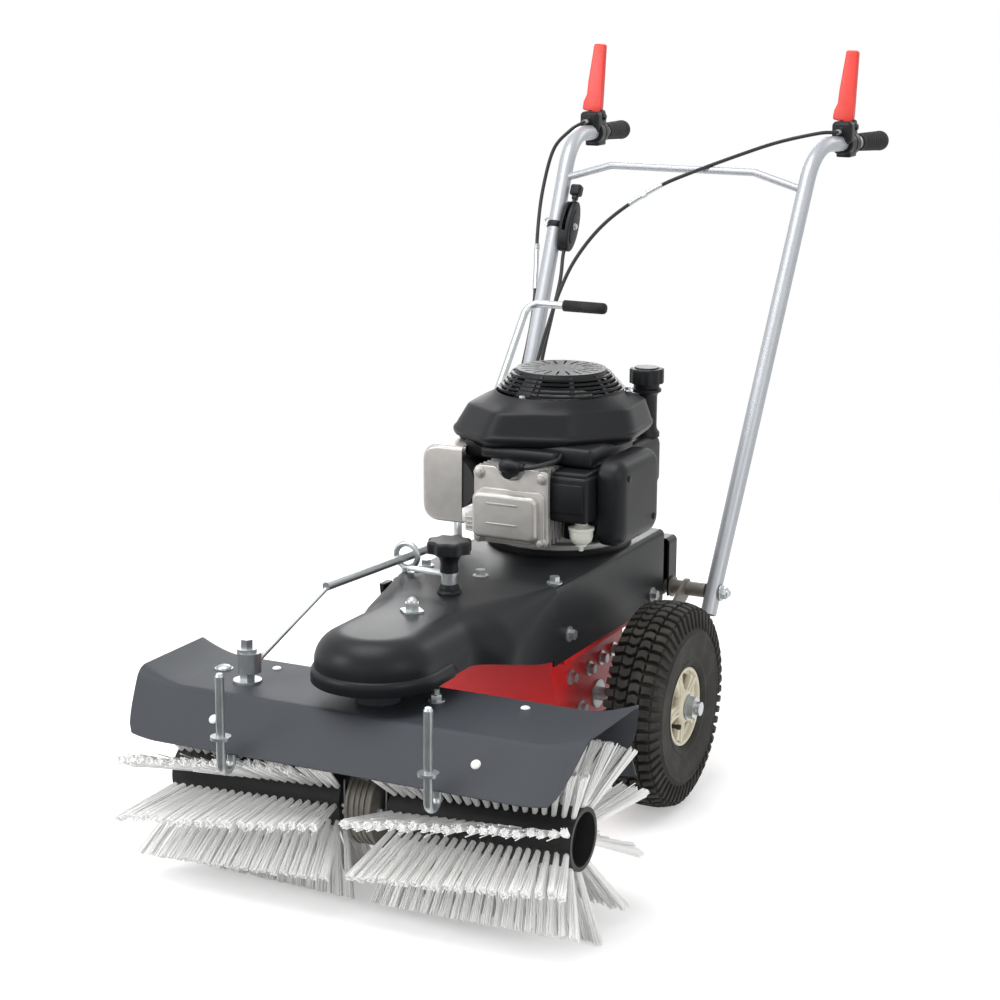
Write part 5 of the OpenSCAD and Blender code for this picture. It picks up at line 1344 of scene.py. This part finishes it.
def knob_tab_shape():
    """The sleeve round the knob's stud, the tab on it and the disc under the tab's end."""
    bm = bmesh.new()
    sleeve = [(5.4, 377), (11, 377), (11, 389), (12.4, 389), (12.4, 393), (5.4, 393), (5.4, 377)]
    turned(bm, sleeve, KNOB, 28)
    closed(bm)
    strip = [
        (-62, -5), (-60, -7), (-8, -9), (0, -11), (8, -8), (11, 0), (8, 8), (0, 11), (-8, 9), (-60, 7),
        (-62, 5),
    ]
    plate(bm, strip, KNOB @ shift(0, 0, 389), 3.8, edge=0.7)
    turned(bm, [(0, 377), (9, 377), (9, 379), (8, 380), (0, 380)], shift(-54, KNOB_Y, 9), 20)
    return bm


def hood_plugs_shape():
    """White domed caps on the hood's front slope and top."""
    bm = bmesh.new()
    slope = Vector((0, -58, 60)).normalized()
    for side in (1, -1):
        dome(bm, facing(slope, at=(side * 190, -591, 242.2)), 6.6, 3.4, 24)
    for side in (1, -1):
        dome(bm, shift(side * 185.25, -441.4, 270), 6.4, 3.0, 24)
    return bm


def hood_bolts_shape():
    """A round head screw and a hexagon bolt on top of the hood."""
    bm = bmesh.new()
    round_spot, hex_spot = shift(-248.6, -474, 270), Vector((71.25, -468.7, 270))
    dome(bm, round_spot @ shift(0, 0, 0.8), 10.5, 5.0, 28)
    turned(bm, [(0, 0), (12.5, 0), (12.5, 1), (0, 1.2)], round_spot, 28)
    hex_head(bm, Matrix.Translation(hex_spot), 13, 8, 11)
    rod(bm, hex_spot + Vector((0, 0, 9)), hex_spot + Vector((0, 0, 17)), 4.4, 4.0, 16)
    return bm


def carrier_nuts_shape():
    """Domed nuts beside the feet of the handle tubes."""
    bm = bmesh.new()
    for side in (1, -1):
        out = facing((side, 0, 0), at=(side * 198.0, 221.5, 262))
        hex_head(bm, out, 17, 8, 13)
        dome(bm, out @ shift(0, 0, 9.5), 6.8, 6.2, 24)
    return bm


def spring_catch_shape():
    """A small block with a tapering tongue, left of the belt cover."""
    bm = bmesh.new()
    block(bm, (-126, -262, 334), (-120, -236, 352), 1.2, 2)
    tongue = [(-11, 0), (11, 0), (7, -22), (1, -34), (-3, -34), (-6, -20)]
    plate(bm, tongue, facing((-1, 0, 0), at=(-124.5, -249, 352)), 4, edge=0.8)
    return bm


class SWEEPER_OT_fittings(bpy.types.Operator):
    """Star knob, hood plugs and bolts, carrier nuts and the spring catch"""

    bl_idname = "sweeper.fittings"
    bl_label = "Fittings"

    def execute(self, context):
        dressed(star_knob_shape(), "star_knob_grip", "star_knob", "engine_black", "star_knob", sharp=40)
        dressed(knob_bush_shape(), "knob_bush", "chassis", "engine_black", "knob_base")
        dressed(knob_tab_shape(), "knob_tab", "chassis", "zinc")
        dressed(hood_plugs_shape(), "hood_plugs", "brush_head", "screw_white", "hood_screws")
        dressed(hood_bolts_shape(), "hood_bolts", "brush_head", "zinc")
        dressed(carrier_nuts_shape(), "carrier_nuts", "chassis", "zinc")
        dressed(spring_catch_shape(), "spring_catch", "chassis", "engine_black")
        return {"FINISHED"}


# Handle

PIVOT = Vector((222.4586, 676.0, 936.2256))
CLAMP = Vector((222.4586, 676.0, 910.2256))
TUBE_FOOT, TUBE_TOP, GRIP_END = Vector((184, 205, 230)), Vector((211, 549, 915)), Vector((235, 815, 905))
GRIP_WAY = (GRIP_END - TUBE_TOP).normalized()
GRIP_LENGTH = 102
# Three blocks of a lever clamp: corners from its middle, edge radius and edge segments.
CLAMP_BLOCKS = [
    ((-17, -35, 0), (17, -10.5, 36), 7, 5),
    ((-15, -24, -8), (15, 12, 12), 4, 4),
    ((-12, -20, -22), (12, 14, -13), 2.5, 3),
]
THROTTLE = Vector((-205.3635, 477.1869, 772.0))


def mirrored(point, side):
    return Vector((side * point.x, point.y, point.z))


def lever_shape(side):
    """A channel-shaped paddle on its hub."""
    bm = bmesh.new()
    place = Matrix.Translation(mirrored(PIVOT, side)) @ spin(radians(-5.5), "X")
    front = place @ facing((0, -1, 0), at=(0, 5.0, 0))
    outline = rounded_line([
        (-8, 6), (8, 4), (9, 20), (9.6, 121.6), (-10.2, 121.6), (-17, 58), (-19, 37), (-24.5, 25),
        (-26, 11), (-8, 6.01),
    ], 4.2, 4)[1:-1]
    paddle = plate(bm, [tuple(p) for p in outline], Matrix(), 10, edge=2.2, segments=3)
    back = min((f for v in paddle for f in v.link_faces), key=lambda f: f.calc_center_median().z)
    bmesh.ops.inset_region(bm, faces=[back], thickness=2.6)
    bmesh.ops.translate(bm, vec=(0, 0, 6.2), verts=list(back.verts))
    bmesh.ops.transform(bm, matrix=front, verts=bm.verts[:])
    hub = place @ facing((1, 0, 0), at=(-7.9, 0, 0))
    turned(bm, [(3.6, 0), (8.2, 0), (8.9, 0.8), (8.9, 15), (8.2, 15.8), (3.6, 15.8), (3.6, 0)], hub, 32)
    block(bm, (-7.8, -4, 6), (7.8, 4.5, 24), 1.6, 3, place)
    closed(bm)
    return bm


def clamp_shape():
    """Both lever clamps: barrel, cheeks with their bolts, cable box and cable stop."""
    bm = bmesh.new()
    cheek_line = circle_line(12, 24)[:13] + [(-14, -27), (14, -27)]
    for side in (1, -1):
        mid, pivot = mirrored(CLAMP, side), mirrored(PIVOT, side)
        way = mirrored(GRIP_WAY, side)
        barrel, _ = along(mid - way * 23, mid)
        turned(bm, [
            (12.6, 0), (17.8, 0), (19.4, 1.6), (19.4, 18), (18.4, 19), (18.4, 22), (19.4, 23),
            (19.4, 36.4), (17.4, 38), (12.6, 38), (12.6, 0),
        ], barrel, 40)
        for cheek in (1, -1):
            out = facing((cheek, 0, 0), at=(pivot.x + cheek * 8.4, pivot.y, pivot.z))
            plate(bm, cheek_line, out, 4.2, edge=1.1)
            hex_head(bm, out @ shift(0, 0, 4), 9, 3.6, 6.5, 1.2)
        rod(bm, pivot - Vector((12, 0, 0)), pivot + Vector((12, 0, 0)), 3.5)
        for low, high, edge, segments in CLAMP_BLOCKS:
            block(bm, mid + Vector(low), mid + Vector(high), edge, segments)
        for x in (-7, 7):
            screw = facing((0, -1, 0), at=mid + Vector((x, -34.4, 7)))
            turned(bm, [(0, 0), (3.6, 0), (3.6, 2), (2.6, 3), (0, 3)], screw, 16)
        turned(bm, [
            (0, 0), (8.4, 0), (8.4, 22), (7.4, 23.4), (6.4, 24), (6.4, 27), (5.4, 27.4), (5.4, 30),
            (0, 30),
        ], facing((0, -1, 0), at=mid + Vector((0, -11.5, 20.5))), 20)
    closed(bm)
    return bm


def grips_shape():
    """Both grips with shallow grooves, a little thicker towards their ends."""
    bm = bmesh.new()
    for side in (1, -1):
        end, way = mirrored(GRIP_END, side), mirrored(GRIP_WAY, side)
        profile = [(12.6, 0), (13.6, 0), (14.3, 0.8), (14.5, 3)]
        for k in range(9):
            start, r = 12 + 8.4 * k, mix(14.6, 15.9, k / 8)
            profile += [(r, start), (r - 0.5, start + 0.9), (r - 0.5, start + 2.1), (r, start + 3.0)]
        profile += [(16.2, 91), (16.5, 95), (16.3, 98.6), (15.0, 101.0)]
        profile += [(12.5, GRIP_LENGTH), (0, GRIP_LENGTH)]
        place, _ = along(end - way * GRIP_LENGTH, end)
        turned(bm, profile, place, 40)
    return bm


def rod_sleeve_shape():
    """The hand grip on the end of the swivel rod."""
    bm = bmesh.new()
    profile = [(6.1, 0), (8.6, 0), (9, 0.8), (9, 66), (8.4, 69.4), (6.6, 71.6), (0, 72)]
    turned(bm, profile, facing((1, 0, 0), at=(-115, 318, 667)), 32)
    return bm


class SWEEPER_OT_handle(bpy.types.Operator):
    """Hand levers, their clamps and the grips"""

    bl_idname = "sweeper.handle"
    bl_label = "Handle fittings"

    def execute(self, context):
        for side, name in SIDES:
            paddle = lever_shape(side)
            dressed(paddle, f"hand_lever_paddle_{name}", f"hand_lever_{name}", "lever_red", f"lever_{name}")
        dressed(clamp_shape(), "lever_housings", "chassis", "engine_black", "lever_clamps")
        dressed(grips_shape(), "rubber_grips", "chassis", "grip", "grips", sharp=60)
        dressed(rod_sleeve_shape(), "rod_sleeve", "swivel_rod", "grip", "rod_grip", sharp=60)
        return {"FINISHED"}


# Throttle

TUBE_LEAN = atan2(TUBE_TOP.y - TUBE_FOOT.y, TUBE_TOP.z - TUBE_FOOT.z)
TUBE_WAY = mirrored((TUBE_TOP - TUBE_FOOT).normalized(), -1)
THROTTLE_PLACE = Matrix.Translation(THROTTLE + Vector((15.0, 0, 0))) @ spin(-TUBE_LEAN, "X")
THROTTLE_FACE = THROTTLE_PLACE @ facing((1, 0, 0), at=(12.4, 0, 0))


def throttle_housing_shape():
    """Two oval shells with a gap for the lever, on a band round the left tube."""
    bm = bmesh.new()
    oval = circle_line(20.5, 40, 43)
    plate(bm, oval, THROTTLE_FACE, 6.0, edge=2.4, segments=4)
    plate(bm, oval, THROTTLE_PLACE @ facing((-1, 0, 0), at=(6.2, 0, 0)), 5.9, edge=1.4, segments=2)
    core = [(x, y) for x, y in oval if y < -10.5]
    plate(bm, core, THROTTLE_PLACE @ facing((1, 0, 0), at=(6.2, 0, 0)), 6.2)
    plate(bm, circle_line(12.5, 32, 30), THROTTLE_FACE @ shift(0, 0, 4), 3.2, edge=1.2, segments=3)
    rod(bm, THROTTLE_FACE @ Vector((0, 0, -14)), THROTTLE_FACE @ Vector((0, 0, 2)), 2.95)
    band, _ = along(THROTTLE - TUBE_WAY * 8, THROTTLE)
    line = [(12.6, 3), (13.6, 3), (13.9, 3.4), (13.9, 12.6), (13.6, 13), (12.6, 13), (12.6, 3)]
    turned(bm, line, band, 32)
    closed(bm)
    return bm


def throttle_screw_shape():
    """A screw in the housing's face and a wire loop on the tube."""
    bm = bmesh.new()
    hex_head(bm, THROTTLE_FACE @ shift(0, 0, 7), 8, 3.2, 5.6, 1.0)
    base = THROTTLE + TUBE_WAY * 6
    bend = [pi * k / 10 for k in range(11)]
    loop = [base + Vector((-12 - 9 * sin(a), 0, 0)) + TUBE_WAY * (7 * cos(a)) for a in bend]
    wire(bm, loop, 1.6, 8)
    return bm


def throttle_paddle_shape():
    """The throttle lever: hub, arm and ribbed thumb piece."""
    bm = bmesh.new()
    place = THROTTLE_PLACE @ shift(9.3, 0, 0)
    hub = [(3.1, -2.6), (9.9, -2.6), (9.9, 2.6), (3.1, 2.6), (3.1, -2.6)]
    turned(bm, hub, place @ facing((1, 0, 0)), 28)
    blocks(bm, [
        ((-2.6, -3.5, 8.5), (2.6, 3.5, 56), 0.8, 2),
        ((-9.5, -8, 53), (9.5, 8, 72), 4.2, 5),
        ((-4.5, -4.5, 46), (4.5, 4.5, 55), 1.5, 3),
    ], place)
    for k in range(3):
        block(bm, (-7, -8.6, 57.4 + 4.2 * k), (7, -7.6, 59.4 + 4.2 * k), 0.5, 2, place)
    closed(bm)
    return bm


class SWEEPER_OT_throttle(bpy.types.Operator):
    """The throttle housing on the left tube and its lever"""

    bl_idname = "sweeper.throttle"
    bl_label = "Throttle"

    def execute(self, context):
        housing, paddle = throttle_housing_shape(), throttle_paddle_shape()
        dressed(housing, "throttle_housing", "chassis", "engine_black", "throttle_box", sharp=40)
        dressed(throttle_screw_shape(), "throttle_screw_and_loop", "chassis", "zinc")
        dressed(paddle, "throttle_paddle", "throttle", "engine_black", "throttle_lever", sharp=40)
        return {"FINISHED"}


# Cables

DRIVE_ROUTE = [
    (222.5, 634.1, 930.7), (218, 620, 930.5), (196, 606, 929), (136, 590, 914), (87, 546, 895),
    (21, 489, 866), (-22, 471, 845), (-71, 452, 812), (-108, 432, 776), (-138, 412, 730),
    (-154, 392, 685), (-162, 362, 630), (-164, 318, 560), (-160, 278, 480), (-152, 258, 400),
    (-138, 254, 340), (-118, 253, 312), (-104, 250, 302), (-99, 238.4, 299),
]
CLUTCH_ROUTE = [
    (-222.5, 634.1, 930.7), (-226, 620, 928), (-240, 604, 916), (-262, 588, 885), (-268, 560, 820),
    (-260, 525, 757), (-246, 490, 695), (-232, 452, 635), (-222, 402, 570), (-217, 350, 500),
    (-212, 296, 420), (-200, 244, 365), (-172, 226, 335), (-144, 225, 316), (-128, 226, 312),
    (-117.4, 226, 312),
]
THROTTLE_ROUTE = [
    (-180.6, 459.5, 738), (-179.6, 451, 724), (-174, 430, 690), (-173, 400, 640), (-172, 362, 575),
    (-166, 318, 500), (-150, 276, 440), (-120, 250, 408), (-84, 232, 398), (-54, 207, 398),
    (-34.9, 174.7, 398), (-30.1, 158.9, 398),
]
PLUG_ROUTE = [
    (26.3, -118, 505), (36, -116, 506), (46, -108, 508), (54, -96, 510), (58, -84, 511), (58, -74, 512),
    (57, -63, 516),
]
SHEATH_R = 3.0


def cord_shape(lines, radius):
    """Round cords along their lines."""
    bm = bmesh.new()
    for line in lines:
        wire(bm, line, radius, 12)
    return bm


def ferrules_shape(drive, clutch):
    """Adjuster sleeves with their lock nuts, and the ferrules at both ends of two cables."""
    bm = bmesh.new()
    for line, radius, sides in (
        (clutch[44:53], 4.2, 14), (clutch[43:45], 5.4, 6), (drive[47:56], 3.8, 14), (drive[51:53], 5.2, 6),
    ):
        wire(bm, line, radius, sides)
    for line in (drive, clutch):
        wire(bm, line[:6], 4.0, 14)
        wire(bm, line[-4:], 4.4, 14)
    return bm


class SWEEPER_OT_cables(bpy.types.Operator):
    """Bowden cables with their ferrules and adjuster sleeves"""

    bl_idname = "sweeper.cables"
    bl_label = "Cables"

    def execute(self, context):
        routes = (DRIVE_ROUTE, CLUTCH_ROUTE, THROTTLE_ROUTE)
        drive, clutch, throttle = (smooth_line(route, 8) for route in routes)
        dressed(cord_shape([drive], SHEATH_R), "drive_cable_sheath", "chassis", "cable", "drive_cable")
        pair = cord_shape([clutch, throttle], SHEATH_R)
        dressed(pair, "clutch_cable_sheaths", "chassis", "cable", "clutch_cables")
        dressed(ferrules_shape(drive, clutch), "cable_ferrules", "chassis", "zinc")
        return {"FINISHED"}


# Finishes and stage


class SWEEPER_OT_finishes(bpy.types.Operator):
    """Gives every carried-over solid the finish of its slot"""

    bl_idname = "sweeper.finishes"
    bl_label = "Finishes"

    def execute(self, context):
        make_finishes(context.scene.sweeper_colours)
        for slot, (_, _, nodes) in SLOTS.items():
            for node in nodes.split():
                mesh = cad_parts[node].data
                mesh.materials.clear()
                mesh.materials.append(FINISHES[slot])
        return {"FINISHED"}


def aim(thing, place, target):
    """Stands a thing at a place, with its front towards a target."""
    thing.location = place
    thing.rotation_euler = (Vector(target) - Vector(place)).to_track_quat("-Z", "Y").to_euler()


def lamp(name, place, target, size, energy):
    data = bpy.data.lights.new(name, "AREA")
    data.shape = "DISK"
    data.size = size
    data.energy = energy
    light = bpy.data.objects.new(name, data)
    aim(light, place, target)
    bpy.context.scene.collection.objects.link(light)


def dark_card(name, place, target, half_width, half_height):
    """A dark studio card that only shows in reflections."""
    bm = bmesh.new()
    bmesh.ops.create_grid(bm, x_segments=1, y_segments=1, size=1.0)
    bmesh.ops.scale(bm, vec=(half_width, half_height, 1), verts=bm.verts[:])
    card = new_object(bm, name)
    aim(card, place, target)
    for ray in ("camera", "diffuse", "transmission", "volume_scatter", "shadow"):
        setattr(card, f"visible_{ray}", False)
    dark = Paint.material(name).finish(Base_Color=(0.03, 0.03, 0.03), Roughness=1.0, Specular_IOR_Level=0.0)
    card.data.materials.append(dark)


FLOOR_R, FLOOR_DROP, FLOOR_GLOW = 90, 0.0006, 0.36
# The floor turns from its own shade to white between these distances.
FLOOR_NEAR, FLOOR_FAR = 1.0, 2.2
SURROUNDINGS_LIGHT = 0.6
# Each lamp: its name, its place, what it looks at, its width in metres and its power in watts.
LAMPS = [
    ("top_softbox", (-0.4, -0.9, 3.3), (0, -0.1, 0.3), 2.4, 80),
    ("left_softbox", (-2.6, -3.0, 2.0), (0, -0.3, 0.3), 1.8, 52),
    ("right_softbox", (3.2, -1.6, 1.5), (0, -0.1, 0.3), 1.6, 18),
    ("back_softbox", (-1.9, 3.9, 1.95), (0, -0.2, 0.4), 2.2, 48),
    ("front_fill", (-0.4, -4.6, 1.1), (0, -0.5, 0.15), 2.0, 5),
    ("rear_right_softbox", (1.3, 3.3, 2.2), (0, -0.2, 0.4), 1.5, 14),
]


def pale_floor():
    """A wide floor that keeps the shadow near the object and is white further out."""
    bm = bmesh.new()
    bmesh.ops.create_circle(bm, cap_ends=True, segments=96, radius=FLOOR_R)
    floor = new_object(bm, "floor")
    floor.location = (0, 0, -FLOOR_DROP)
    paint = Paint.material("pale_floor")
    pale = paint.finish(Base_Color=(0.82, 0.82, 0.82), Roughness=0.9, Specular_IOR_Level=0.0)
    floor.data.materials.append(pale)
    rays = paint.background_rays()
    plain = Field(paint, paint.shader.outputs[0])
    glow = paint.node("ShaderNodeEmission", None, {"Color": WHITE, "Strength": FLOOR_GLOW})
    lifted = paint.node("ShaderNodeAddShader", None, {0: plain, 1: glow})
    near = paint.node("ShaderNodeMixShader", None, {0: rays, 1: plain, 2: lifted})
    white = paint.node("ShaderNodeEmission", None, {"Color": WHITE, "Strength": 1.0})
    away = paint.node("ShaderNodeVectorMath", {"operation": "LENGTH"}, {0: paint.place}, out="Value")
    far = paint.step(away, FLOOR_NEAR, FLOOR_FAR) * rays
    paint.surface(paint.node("ShaderNodeMixShader", None, {0: far, 1: near, 2: white}))


def white_surroundings(scene):
    """A world that looks white and lights the object at a plain level."""
    scene.world = bpy.data.worlds.new("surroundings")
    sky = Paint(scene.world)
    dim, bright = (
        sky.node("ShaderNodeBackground", None, {"Color": WHITE, "Strength": level})
        for level in (SURROUNDINGS_LIGHT, 1.0)
    )
    sky.surface(sky.node("ShaderNodeMixShader", None, {0: sky.background_rays(), 1: dim, 2: bright}))


def photo_camera(scene):
    """The camera at the place and angle of the photograph."""
    view = scene.sweeper_view
    data = bpy.data.cameras.new("photo_view")
    data.lens = view.lens
    data.sensor_width = 36.0
    camera = bpy.data.objects.new("photo_view", data)
    place = Matrix.Translation(Vector(view.place) + Vector((0, AXLE_Y, 0)))
    look = spin(view.turn, "Z") @ spin(pi / 2 - view.dip, "X")
    camera.matrix_world = place @ look @ spin(view.roll, "Z")
    scene.collection.objects.link(camera)
    scene.camera = camera


class SWEEPER_OT_stage(bpy.types.Operator):
    """Pale floor, white surroundings, soft lamps and the camera"""

    bl_idname = "sweeper.stage"
    bl_label = "Stage"

    def execute(self, context):
        scene = context.scene
        pale_floor()
        white_surroundings(scene)
        for row in LAMPS:
            lamp(*row)
        dark_card("ground_card", (1.2, -2.5, 0.002), (1.2, -2.5, -1), 3.6, 1.7)
        photo_camera(scene)
        scene.view_settings.view_transform = "Standard"
        return {"FINISHED"}


STEPS = (
    SWEEPER_OT_finishes,
    SWEEPER_OT_brush,
    SWEEPER_OT_hood,
    SWEEPER_OT_belt_cover,
    SWEEPER_OT_shroud,
    SWEEPER_OT_wheels,
    SWEEPER_OT_engine_front,
    SWEEPER_OT_engine_top,
    SWEEPER_OT_fittings,
    SWEEPER_OT_handle,
    SWEEPER_OT_throttle,
    SWEEPER_OT_cables,
    SWEEPER_OT_stage,
)


class SWEEPER_PT_panel(bpy.types.Panel):
    """Lists the steps that dress the sweeper"""

    bl_idname = "SWEEPER_PT_panel"
    bl_label = "Power Brush Sweeper"
    bl_space_type = "VIEW_3D"
    bl_region_type = "UI"
    bl_category = "Sweeper"

    def draw(self, context):
        for step in STEPS:
            self.layout.operator(step.bl_idname)


CLASSES = (SweeperSizes, SweeperColours, SweeperView, *STEPS, SWEEPER_PT_panel)


def register():
    for item in CLASSES:
        bpy.utils.register_class(item)
    bpy.types.Scene.sweeper_sizes = PointerProperty(type=SweeperSizes)
    bpy.types.Scene.sweeper_colours = PointerProperty(type=SweeperColours)
    bpy.types.Scene.sweeper_view = PointerProperty(type=SweeperView)


def unregister():
    del bpy.types.Scene.sweeper_view
    del bpy.types.Scene.sweeper_colours
    del bpy.types.Scene.sweeper_sizes
    for item in reversed(CLASSES):
        bpy.utils.unregister_class(item)


def main():
    register()
    for step in STEPS:
        group, name = step.bl_idname.split(".")
        getattr(getattr(bpy.ops, group), name)()


if __name__ == "__main__":
    main()
